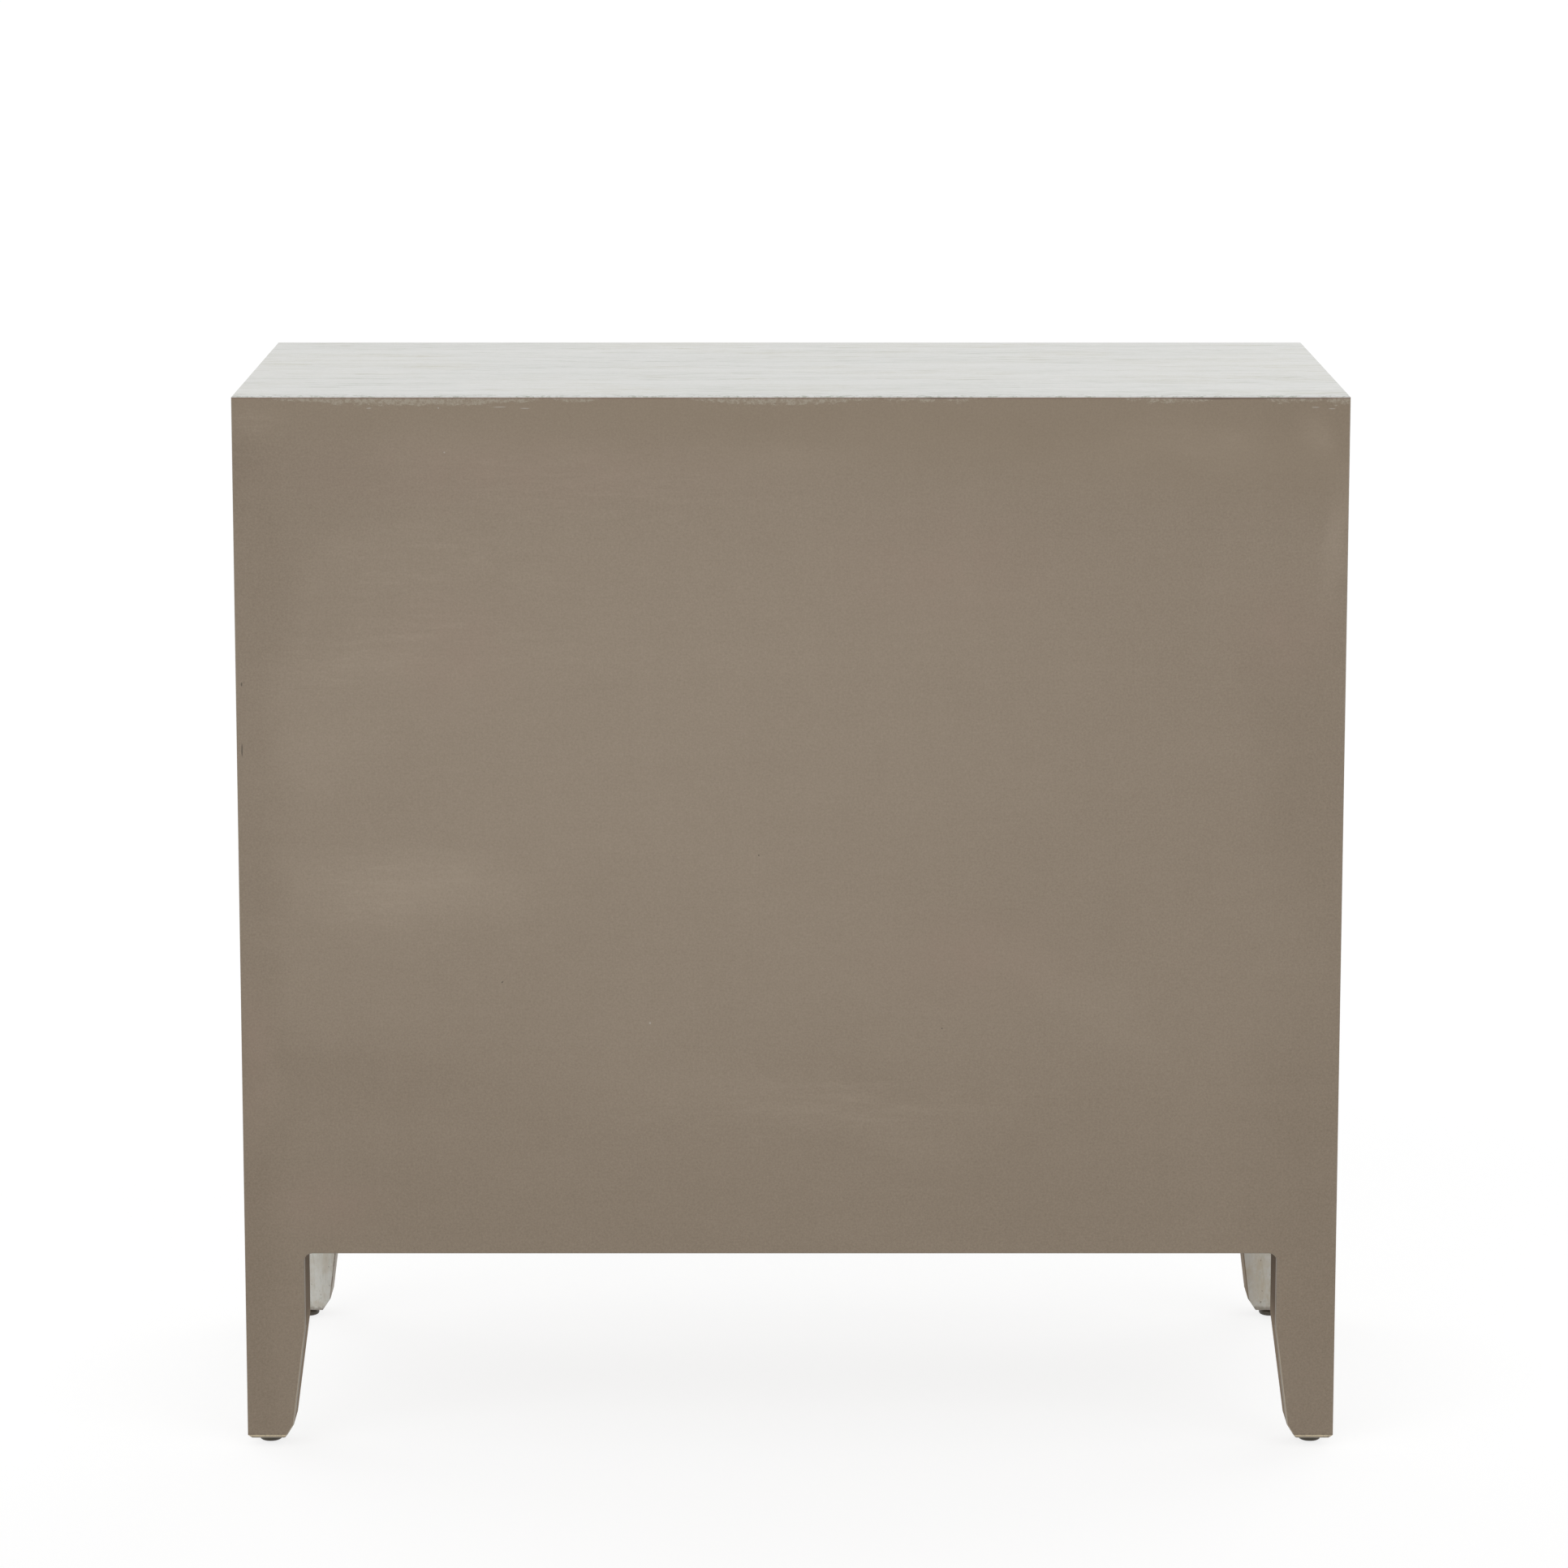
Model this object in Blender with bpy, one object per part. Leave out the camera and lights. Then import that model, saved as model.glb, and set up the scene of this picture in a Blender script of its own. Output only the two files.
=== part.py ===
"""Two-door accent cabinet on tapered post legs with screw-in levelling feet.

The cabinet stands on the floor at z = 0, its doors face -Y, and x = 0 is its middle.
y = 0 lies midway between the knobs' tips and the back face. All sizes are in metres.
"""

import math

import bmesh
import bpy
from mathutils import Matrix, Vector

# Overall size, knobs left out of the depth
WIDTH = 0.813
DEPTH = 0.381
HEIGHT = 0.792

# Hairline between two pieces that touch, and the eased edge on every board
SEAM = 0.0003
EASE = 0.0008

# Carcass boards
TOP_THICKNESS = 0.018
SIDE_THICKNESS = 0.018
BACK_THICKNESS = 0.009
BOTTOM_THICKNESS = 0.015
APRON_Z = 0.150
APRON_HEIGHT = 0.042
TOP_RAIL_HEIGHT = 0.024
RAIL_THICKNESS = 0.022
HOUSING_DEPTH = 0.006

# Posts, which taper below the aprons on their two inner sides
POST_WIDTH = 0.044
POST_DEPTH = 0.048
TAPER_Z = 0.092
TOE_WIDTH = 0.0345
TOE_DEPTH = 0.037
TOE_CUT_WIDTH = 0.0068
TOE_CUT_DEPTH = 0.0042
TOE_CUT_HEIGHT = 0.0109
TOE_CHAMFER = 0.003
BACK_CORNER_RADIUS = 0.006

# Levelling feet: a threaded insert in each leg, a stem and a disc
FOOT_RADIUS = 0.0085
FOOT_HEIGHT = 0.005
FOOT_EDGE_RADIUS = 0.0022
FOOT_FLOOR = 0.0015
STEM_RADIUS = 0.003
STEM_LENGTH = 0.022
STEM_HEADROOM = 0.001
INSERT_WALL = 0.0014
INSERT_LENGTH = 0.013
FLANGE_RADIUS = 0.0066
FLANGE_THICKNESS = 0.0012

# Shelf and the pins that carry it
SHELF_THICKNESS = 0.015
SHELF_Z = 0.462
SHELF_CLEARANCE = 0.001
SHELF_SETBACK = 0.012
PIN_HOLE_RADIUS = 0.0025
PIN_HOLE_DEPTH = 0.011
PIN_HOLE_PITCH = 0.032
PIN_HOLE_ROWS = 5
PIN_COLUMN_INSET = 0.040
PIN_REACH = 0.008

# Doors: a frame of stiles and rails with a panel in their grooves
DOOR_THICKNESS = 0.020
DOOR_END_GAP = 0.0025
MEETING_GAP = 0.0026
STILE_WIDTH = 0.050
DOOR_RAIL_HEIGHT = 0.050
PANEL_THICKNESS = 0.006
PANEL_RECESS = 0.007
GROOVE_DEPTH = 0.009
PANEL_END_ROOM = 0.001
TENON_SHOULDER = 0.003

# Butt hinges: rolled knuckles on a pin
HINGE_HEIGHT = 0.050
HINGE_INSET = 0.075
LEAF_WIDTH = 0.015
LEAF_THICKNESS = 0.0012
KNUCKLES = 5
KNUCKLE_CLEARANCE = 0.0002
PIN_RADIUS = 0.001
PIN_CLEARANCE = 0.0003
PIN_CAP_RADIUS = 0.0023
PIN_CAP_HEIGHT = 0.0013
PIN_CAP_DOME = 0.0005
ROLL_ANGLE = math.radians(280)
ROLL_STEPS = 10

# Countersunk holes for the wood screws in the hinges, the catch and the strikes
SCREW_HEAD_RADIUS = 0.0028
SCREW_RADIUS = 0.00125
SCREW_SPACING = 0.028

# Knobs and the machine screws that hold them
KNOB_PROJECTION = 0.026
KNOB_RADIUS = 0.015
KNOB_NECK_RADIUS = 0.005
KNOB_BASE_RADIUS = 0.0085
KNOB_DOME = 0.0065
KNOB_LIP = 0.0012
KNOB_RIM = 0.001
KNOB_FLARE = 0.0081
KNOB_Z = 0.490
KNOB_SCREW_RADIUS = 0.002
KNOB_SCREW_BITE = 0.010
KNOB_SCREW_ROOM = 0.002
KNOB_SCREW_HEAD_RADIUS = 0.004
KNOB_SCREW_HEAD_HEIGHT = 0.0024

# Magnetic catch for both doors, behind the top rail, and its strike plates
CATCH_WIDTH = 0.048
CATCH_BODY_WIDTH = 0.034
CATCH_BODY_DEPTH = 0.013
CATCH_PLATE_THICKNESS = 0.0025
CATCH_DROP = 0.014
CATCH_RISE = 0.012
CATCH_STEP = 0.001
MAGNET_WIDTH = 0.028
MAGNET_HEIGHT = 0.009
MAGNET_DEPTH = 0.008
STRIKE_WIDTH = 0.026
STRIKE_HEIGHT = 0.011
STRIKE_THICKNESS = 0.0012
STRIKE_INSET = 0.002
STRIKE_DROP = 0.001
STRIKE_EASE = 0.0003

# Places worked out from the sizes above
HALF = WIDTH / 2
BACK_Y = (DEPTH + KNOB_PROJECTION) / 2
FRONT_Y = BACK_Y - DEPTH
INNER_BACK_Y = BACK_Y - BACK_THICKNESS - SEAM
TOE_Z = FOOT_HEIGHT + FLANGE_THICKNESS + 2 * SEAM
UNDER_TOP_Z = HEIGHT - TOP_THICKNESS - SEAM
POST_X = HALF - POST_WIDTH
FRONT_POST_Y = FRONT_Y + POST_DEPTH
BACK_POST_Y = BACK_Y - POST_DEPTH
SIDE_X = HALF - SIDE_THICKNESS
OPENING_LOW = APRON_Z + APRON_HEIGHT
OPENING_HIGH = UNDER_TOP_Z - TOP_RAIL_HEIGHT
BOTTOM_Z = OPENING_LOW - BOTTOM_THICKNESS
DOOR_LOW = OPENING_LOW + DOOR_END_GAP
DOOR_HIGH = OPENING_HIGH - DOOR_END_GAP
DOOR_BACK_Y = FRONT_Y + DOOR_THICKNESS
LEAF_OFFSET = PIN_RADIUS + PIN_CLEARANCE
BARREL_RADIUS = LEAF_OFFSET + LEAF_THICKNESS
HINGE_STANDOFF = BARREL_RADIUS + SEAM
HINGE_X = POST_X - LEAF_OFFSET
HINGE_Y = FRONT_Y - HINGE_STANDOFF
HINGE_HEIGHTS = (DOOR_HIGH - HINGE_INSET, DOOR_LOW + HINGE_INSET)
DOOR_EDGE = LEAF_OFFSET
SCREW_HEAD_DEPTH = 0.9 * LEAF_THICKNESS
DOOR_REACH = HINGE_X - MEETING_GAP / 2
GROOVE_Y = PANEL_RECESS - SEAM
GROOVE_WIDTH = PANEL_THICKNESS + 2 * SEAM
MEETING_STILE_X = MEETING_GAP / 2 + STILE_WIDTH / 2
STRIKE_X = MEETING_GAP / 2 + STRIKE_INSET + STRIKE_WIDTH / 2
STRIKE_Z = OPENING_HIGH - CATCH_DROP / 2 - STRIKE_DROP
CATCH_SCREW_X = (CATCH_WIDTH + CATCH_BODY_WIDTH) / 4
CATCH_SCREW_Z = OPENING_HIGH + CATCH_RISE / 2
INSERT_RADIUS = STEM_RADIUS + SEAM + INSERT_WALL
STEM_TOP = FOOT_FLOOR + SEAM + STEM_LENGTH
FOOT_X = HALF - (TOE_CHAMFER + TOE_WIDTH - TOE_CUT_WIDTH) / 2
PIN_SHAFT_RADIUS = PIN_HOLE_RADIUS - SEAM
PIN_Z = SHELF_Z - SEAM - PIN_SHAFT_RADIUS

# Sides and corners as the doors' side is faced: -1 is the left, and a corner gives its outer y
SIDES = {"left": -1, "right": 1}
CORNERS = {
    "front_left": (-1, FRONT_Y),
    "front_right": (1, FRONT_Y),
    "back_left": (-1, INNER_BACK_Y),
    "back_right": (1, INNER_BACK_Y),
}

# Turns a piece that is made along +Z to point at the doors' side
TO_FRONT = Matrix.Rotation(math.radians(90), 4, "X")

# Sides of turned pieces, the bevel on a rod's end as a share of its radius, and how far a
# cutter runs past what it cuts
ROUND_SIDES = 24
SMALL_SIDES = 12
END_BEVEL = 0.3
CUT_OVERRUN = 0.004


def linear(channel):
    """One sRGB channel, 0 to 255, as the linear value that a shader takes."""
    value = channel / 255
    return value / 12.92 if value <= 0.04045 else ((value + 0.055) / 1.055) ** 2.4


def finish(name, rgb, roughness, metallic=0.0):
    material = bpy.data.materials.new(name)
    material.use_nodes = True
    shader = material.node_tree.nodes["Principled BSDF"]
    shader.inputs["Base Color"].default_value = (*[linear(c) for c in rgb], 1.0)
    shader.inputs["Roughness"].default_value = roughness
    shader.inputs["Metallic"].default_value = metallic
    return material


def mesh_data(name, mesh, material, smooth=False):
    """Mesh data from a bmesh, with its normals turned outwards."""
    bmesh.ops.recalc_face_normals(mesh, faces=mesh.faces)
    data = bpy.data.meshes.new(name)
    mesh.to_mesh(data)
    mesh.free()
    if smooth:
        data.shade_smooth()
        data.set_sharp_from_angle(angle=math.radians(35))
    data.materials.append(material)
    return data


def add_object(name, mesh, material, parent=None, smooth=False):
    return place(name, mesh_data(name, mesh, material, smooth), parent)


def place(name, data, parent=None, at=(0, 0, 0), turn=None):
    """An object of its own that may share its mesh with another."""
    made = bpy.data.objects.new(name, data)
    bpy.context.collection.objects.link(made)
    made.parent = parent
    made.matrix_local = Matrix.Translation(at) @ (turn or Matrix.Identity(4))
    return made


def pivot(name, at):
    """An empty on a joint's axis, which carries the pieces that move with it."""
    empty = bpy.data.objects.new(name, None)
    bpy.context.collection.objects.link(empty)
    empty.location = at
    return empty


def ease(piece, width=EASE):
    """Breaks the square edges, and leaves shallow corners as they are."""
    bevel = piece.modifiers.new("eased_edges", "BEVEL")
    bevel.width = width
    bevel.segments = 1
    bevel.limit_method = "ANGLE"
    bevel.angle_limit = math.radians(60)
    return piece


def boolean(piece, other, operation, label):
    """Joins other to piece or cuts it away, and keeps other out of the model."""
    modifier = piece.modifiers.new(label, "BOOLEAN")
    modifier.operation = operation
    modifier.object = other
    other.hide_render = True
    other.display_type = "WIRE"


def mirrored(points):
    """An outline's right half, given from its middle outwards, with its left half added."""
    return points + [(-x, z) for x, z in reversed(points)]


def fillet(corner, before, after, radius, steps=4):
    """Points of an arc that rounds a corner between two straight runs."""
    corner, before, after = Vector(corner), Vector(before), Vector(after)
    to_before = (before - corner).normalized()
    to_after = (after - corner).normalized()
    half = to_before.angle(to_after) / 2
    centre = corner + (to_before + to_after).normalized() * radius / math.sin(half)
    start = corner + to_before * radius / math.tan(half) - centre
    end = corner + to_after * radius / math.tan(half) - centre
    sweep = start.angle_signed(end)
    spokes = [start @ Matrix.Rotation(sweep * i / steps, 2) for i in range(steps + 1)]
    return [tuple(centre + spoke) for spoke in spokes]


def box_mesh(*corners):
    """A bmesh of separate boxes, each given by its low and its high corner."""
    mesh = bmesh.new()
    for low, high in corners:
        low, high = Vector(low), Vector(high)
        scale = Matrix.Diagonal((*(high - low), 1))
        bmesh.ops.create_cube(mesh, size=1, matrix=Matrix.Translation((low + high) / 2) @ scale)
    return mesh


def board(name, low, high, material, parent=None):
    return ease(add_object(name, box_mesh((low, high)), material, parent))


def cutter(name, mesh, parent=None):
    return add_object(name, mesh, shadow, parent)


def prism_mesh(outline, low, high, axis):
    """A bmesh of a flat outline pushed from low to high along axis X, Y or Z."""
    mesh = bmesh.new()
    order = {"X": (2, 0, 1), "Y": (0, 2, 1), "Z": (0, 1, 2)}[axis]
    corners = [[(a, b, low)[i] for i in order] for a, b in outline]
    face = mesh.faces.new([mesh.verts.new(corner) for corner in corners])
    push = [(0, 0, high - low)[i] for i in order]
    grown = bmesh.ops.extrude_face_region(mesh, geom=[face], use_keep_orig=True)
    moved = [part for part in grown["geom"] if isinstance(part, bmesh.types.BMVert)]
    bmesh.ops.translate(mesh, verts=moved, vec=push)
    return mesh


def turned_mesh(profile, sides, closed=False):
    """A bmesh of a profile of (radius, height) points turned about Z."""
    mesh = bmesh.new()
    points = [mesh.verts.new((radius, 0, height)) for radius, height in profile]
    ends = points[1:] + points[:1] if closed else points[1:]
    edges = [mesh.edges.new(pair) for pair in zip(points, ends)]
    turn = {"cent": (0, 0, 0), "axis": (0, 0, 1), "angle": math.tau, "steps": sides}
    bmesh.ops.spin(mesh, geom=points + edges, **turn)
    bmesh.ops.remove_doubles(mesh, verts=mesh.verts, dist=1e-6)
    return mesh


def rod_mesh(radius, length, places, turn=None, sides=SMALL_SIDES):
    """A bmesh of like rods, each from its place along +Z, or along what turn makes of +Z."""
    mesh = bmesh.new()
    for at in places:
        stand = Matrix.Translation(at) @ (turn or Matrix.Identity(4))
        stand = stand @ Matrix.Translation((0, 0, length / 2))
        size = {"radius1": radius, "radius2": radius, "depth": length, "segments": sides}
        bmesh.ops.create_cone(mesh, cap_ends=True, matrix=stand, **size)
    return mesh


def merged(data, turns):
    """A bmesh that holds a copy of a mesh at each transform, for cutters."""
    mesh = bmesh.new()
    for turn in turns:
        part = bmesh.new()
        part.from_mesh(data)
        part.transform(turn)
        copy = bpy.data.meshes.new("copy")
        part.to_mesh(copy)
        part.free()
        mesh.from_mesh(copy)
        bpy.data.meshes.remove(copy)
    return mesh


def arc(centre, radii, start, end, steps):
    """Points (radius, height) round an ellipse between two angles in degrees."""
    angles = [math.radians(start + (end - start) * i / steps) for i in range(steps + 1)]
    return [(centre[0] + radii[0] * math.cos(a), centre[1] + radii[1] * math.sin(a)) for a in angles]


def sideways(side):
    """Turns +Z to point along +X for side 1, or along -X for side -1."""
    return Matrix.Rotation(math.radians(90 * side), 4, "Y")


def span(side, near, far):
    """Low and high x of a stretch that runs outwards from the middle on one side."""
    return sorted((side * near, side * far))


def add_top():
    low = (-HALF, FRONT_Y, HEIGHT - TOP_THICKNESS)
    board("top_panel", low, (HALF, INNER_BACK_Y, HEIGHT), whitewash)


def leg_outline():
    """The back panel's right leg from the middle of the apron down round the toe."""
    crook = (POST_X, APRON_Z)
    knee = (POST_X, TAPER_Z)
    toe = [
        (HALF - TOE_WIDTH, TOE_Z + TOE_CUT_HEIGHT),
        (HALF - TOE_WIDTH + TOE_CUT_WIDTH, TOE_Z),
        (HALF - TOE_CHAMFER, TOE_Z),
        (HALF, TOE_Z + TOE_CHAMFER),
    ]
    rounded = fillet(crook, (0, APRON_Z), knee, BACK_CORNER_RADIUS)
    return rounded + [knee] + toe


def add_back_panel():
    """One sheet over the whole back, sawn out so that it also faces the back legs."""
    outline = mirrored(leg_outline() + [(HALF, HEIGHT)])
    mesh = prism_mesh(outline, BACK_Y - BACK_THICKNESS, BACK_Y, "Y")
    near = 1e-6
    toes = [
        edge
        for edge in mesh.edges
        if all(v.co.z < TOE_Z + near and v.co.y > BACK_Y - near for v in edge.verts)
    ]
    bmesh.ops.bevel(mesh, geom=toes, offset=TOE_CHAMFER, segments=1, affect="EDGES")
    ease(add_object("back_panel", mesh, back_paint))


def add_post(name, side, outer_y, inner_y, toe_depth, outer_chamfer):
    """A post whose two inner sides run in to the toe, with a bore for the levelling foot."""
    into = 1 if inner_y > outer_y else -1
    toe_y = outer_y + into * toe_depth
    toe_x = HALF - TOE_WIDTH
    cut_x = TOE_CUT_WIDTH
    cut_y = into * TOE_CUT_DEPTH
    left_over = 1 - TOE_CHAMFER / TOE_CUT_HEIGHT
    low_outer_y = outer_y + into * outer_chamfer
    levels = [
        (TOE_Z, toe_x + cut_x, HALF - TOE_CHAMFER, low_outer_y, toe_y - cut_y),
        (TOE_Z + TOE_CHAMFER, toe_x + cut_x * left_over, HALF, outer_y, toe_y - cut_y * left_over),
        (TOE_Z + TOE_CUT_HEIGHT, toe_x, HALF, outer_y, toe_y),
        (TAPER_Z, POST_X, HALF, outer_y, inner_y),
        (UNDER_TOP_Z, POST_X, HALF, outer_y, inner_y),
    ]
    mesh = bmesh.new()
    rings = []
    for z, x0, x1, y0, y1 in levels:
        corners = ((side * x0, y0), (side * x1, y0), (side * x1, y1), (side * x0, y1))
        rings.append([mesh.verts.new((x, y, z)) for x, y in corners])
    for low, high in zip(rings, rings[1:]):
        for i in range(4):
            j = (i + 1) % 4
            mesh.faces.new((low[i], low[j], high[j], high[i]))
    mesh.faces.new(rings[0])
    mesh.faces.new(rings[-1])
    post = ease(add_object(name, mesh, whitewash))
    bore = rod_mesh(
        INSERT_RADIUS + SEAM,
        STEM_TOP + SEAM + STEM_HEADROOM - TOE_Z + CUT_OVERRUN,
        [(side * FOOT_X, foot_y(outer_y), TOE_Z - CUT_OVERRUN)],
        sides=ROUND_SIDES,
    )
    boolean(post, cutter(name + "_bore", bore), "DIFFERENCE", "foot_bore")
    return post


def foot_y(outer_y):
    """Where a foot stands in y, midway along the toe of the post whose outer face is given."""
    return outer_y + TOE_DEPTH / 2 if outer_y < 0 else (outer_y + BACK_Y - TOE_DEPTH) / 2


def hinge_mortises(name, x_face, y_front, parent=None, into=1):
    """A cutter for the two leaf mortises in an edge; into is 1 or -1, the way into the wood."""
    pockets = []
    for z in HINGE_HEIGHTS:
        x0, x1 = sorted((x_face + into * (LEAF_THICKNESS + SEAM), x_face - into * CUT_OVERRUN))
        half = HINGE_HEIGHT / 2 + SEAM
        low = (x0, y_front - CUT_OVERRUN, z - half)
        pockets.append((low, (x1, y_front + LEAF_WIDTH + SEAM, z + half)))
    return cutter(name + "_mortises", box_mesh(*pockets), parent)


def add_posts():
    back_toe = TOE_DEPTH - (BACK_Y - INNER_BACK_Y)
    for corner, (side, outer_y) in CORNERS.items():
        front = outer_y == FRONT_Y
        inner_y = FRONT_POST_Y if front else BACK_POST_Y
        toe_depth = TOE_DEPTH if front else back_toe
        outer_chamfer = TOE_CHAMFER if front else 0
        post = add_post("post_" + corner, side, outer_y, inner_y, toe_depth, outer_chamfer)
        if front:
            mortises = hinge_mortises(post.name, side * POST_X, FRONT_Y, into=side)
            boolean(post, mortises, "DIFFERENCE", "hinge_mortises")


def add_side_panels():
    """Side boards between the posts, with two columns of holes for the shelf pins."""
    low_y = FRONT_POST_Y + SEAM
    high_y = BACK_POST_Y - SEAM
    columns = (low_y + PIN_COLUMN_INSET, high_y - PIN_COLUMN_INSET)
    middle = (PIN_HOLE_ROWS - 1) / 2
    rows = [PIN_Z + (i - middle) * PIN_HOLE_PITCH for i in range(PIN_HOLE_ROWS)]
    for label, side in SIDES.items():
        x0, x1 = span(side, SIDE_X, HALF)
        high = (x1, high_y, UNDER_TOP_Z)
        panel = board("side_panel_" + label, (x0, low_y, APRON_Z), high, whitewash)
        mouths = [(side * (SIDE_X - CUT_OVERRUN), y, z) for y in columns for z in rows]
        holes = rod_mesh(PIN_HOLE_RADIUS, PIN_HOLE_DEPTH + CUT_OVERRUN, mouths, sideways(side))
        boolean(panel, cutter(panel.name + "_holes", holes), "DIFFERENCE", "pin_holes")
        x0, x1 = span(side, SIDE_X - CUT_OVERRUN, SIDE_X + HOUSING_DEPTH)
        low = (x0, low_y - CUT_OVERRUN, BOTTOM_Z - SEAM)
        groove = box_mesh((low, (x1, high_y + CUT_OVERRUN, OPENING_LOW + SEAM)))
        boolean(panel, cutter(panel.name + "_groove", groove), "DIFFERENCE", "bottom_groove")


def add_rails():
    """The cross pieces between the posts."""
    reach = POST_X - SEAM
    front = (FRONT_Y, FRONT_Y + RAIL_THICKNESS)
    back = (INNER_BACK_Y - RAIL_THICKNESS, INNER_BACK_Y)
    rails = {
        "front_top_rail": (front, OPENING_HIGH, UNDER_TOP_Z, whitewash),
        "front_apron": (front, APRON_Z, OPENING_LOW, whitewash),
        "back_apron": (back, APRON_Z, BOTTOM_Z - SEAM, inside_paint),
    }
    for name, ((y0, y1), z0, z1, material) in rails.items():
        board(name, (-reach, y0, z0), (reach, y1, z1), material)


def notched_board(name, half, low_y, high_y, notch_x, notch_ys, low_z, high_z, material):
    """A board whose four corners are cut back to go round the posts."""
    front_notch, back_notch = notch_ys
    outline = [
        (notch_x, low_y),
        (notch_x, front_notch),
        (half, front_notch),
        (half, back_notch),
        (notch_x, back_notch),
        (notch_x, high_y),
    ]
    return ease(add_object(name, prism_mesh(mirrored(outline), low_z, high_z, "Z"), material))


def add_bottom():
    """The bottom board, whose ends run into the grooves in the side boards."""
    notches = (FRONT_POST_Y + SEAM, BACK_POST_Y - SEAM)
    low_y = FRONT_Y + RAIL_THICKNESS + SEAM
    half = SIDE_X + HOUSING_DEPTH - SEAM
    notched_board(
        "bottom_panel",
        half,
        low_y,
        INNER_BACK_Y - SEAM,
        POST_X - SEAM,
        notches,
        BOTTOM_Z,
        OPENING_LOW,
        inside_paint,
    )


def add_shelf():
    """The shelf and the four pins that it stands on."""
    clear = SHELF_CLEARANCE
    notches = (FRONT_POST_Y + clear, BACK_POST_Y - clear)
    low_y = DOOR_BACK_Y + SHELF_SETBACK
    notched_board(
        "shelf",
        SIDE_X - clear,
        low_y,
        INNER_BACK_Y - clear,
        POST_X - clear,
        notches,
        SHELF_Z,
        SHELF_Z + SHELF_THICKNESS,
        inside_paint,
    )
    length = PIN_HOLE_DEPTH - SEAM + PIN_REACH
    round_off = PIN_SHAFT_RADIUS * END_BEVEL
    profile = [
        (0, 0),
        (PIN_SHAFT_RADIUS - round_off, 0),
        (PIN_SHAFT_RADIUS, round_off),
        (PIN_SHAFT_RADIUS, length - round_off),
        (PIN_SHAFT_RADIUS - round_off, length),
        (0, length),
    ]
    pin = mesh_data("shelf_pin", turned_mesh(profile, SMALL_SIDES), steel, smooth=True)
    inset = SEAM + PIN_COLUMN_INSET
    columns = {"front": FRONT_POST_Y + inset, "back": BACK_POST_Y - inset}
    for row, y in columns.items():
        for label, side in SIDES.items():
            at = (side * (SIDE_X - PIN_REACH), y, PIN_Z)
            place(f"shelf_pin_{row}_{label}", pin, None, at, sideways(side))


def add_feet():
    """Threaded inserts in the toes, and a stem and a disc for each foot."""
    bore = STEM_RADIUS + SEAM
    flange_z = FOOT_HEIGHT + SEAM
    top = flange_z + FLANGE_THICKNESS + INSERT_LENGTH
    insert = [
        (bore, flange_z),
        (FLANGE_RADIUS, flange_z),
        (FLANGE_RADIUS, flange_z + FLANGE_THICKNESS),
        (INSERT_RADIUS, flange_z + FLANGE_THICKNESS),
        (INSERT_RADIUS, top),
        (bore, top),
    ]
    insert_mesh = turned_mesh(insert, ROUND_SIDES, closed=True)
    sleeve = mesh_data("leveler_insert", insert_mesh, steel, smooth=True)
    places = {}
    for corner, (side, outer_y) in CORNERS.items():
        places[corner] = (side * FOOT_X, foot_y(outer_y), 0)
    for corner, at in places.items():
        place("leveler_insert_" + corner, sleeve, None, at)

    edge = FOOT_EDGE_RADIUS
    rim = FOOT_RADIUS - edge
    disc = [(0, 0)]
    disc += arc((rim, edge), (edge, edge), -90, 0, 4)
    disc += arc((rim, FOOT_HEIGHT - edge), (edge, edge), 0, 90, 4)
    disc += [(bore, FOOT_HEIGHT), (bore, FOOT_FLOOR), (0, FOOT_FLOOR)]
    low = FOOT_FLOOR + SEAM
    tip = STEM_RADIUS * END_BEVEL
    stem = [
        (0, low),
        (STEM_RADIUS, low),
        (STEM_RADIUS, STEM_TOP - tip),
        (STEM_RADIUS - tip, STEM_TOP),
        (0, STEM_TOP),
    ]
    foot = mesh_data("leveler_foot", turned_mesh(disc, ROUND_SIDES), dark_plastic, smooth=True)
    stud = mesh_data("leveler_stem", turned_mesh(stem, ROUND_SIDES), steel, smooth=True)
    for corner, at in places.items():
        screw = pivot("leveler_axis_" + corner, at)
        place("leveler_foot_" + corner, foot, screw)
        place("leveler_stem_" + corner, stud, screw)


def countersinks(name, places, turn, thickness=LEAF_THICKNESS, parent=None):
    """A cutter for screw holes whose flat mouths lie at the places given."""
    lip = CUT_OVERRUN
    profile = [
        (0, -lip),
        (SCREW_HEAD_RADIUS, -lip),
        (SCREW_HEAD_RADIUS, 0),
        (SCREW_RADIUS + SEAM, SCREW_HEAD_DEPTH),
        (SCREW_RADIUS + SEAM, thickness + lip),
        (0, thickness + lip),
    ]
    data = mesh_data(name, turned_mesh(profile, SMALL_SIDES), shadow)
    return cutter(name, merged(data, [Matrix.Translation(at) @ turn for at in places]), parent)


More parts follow.
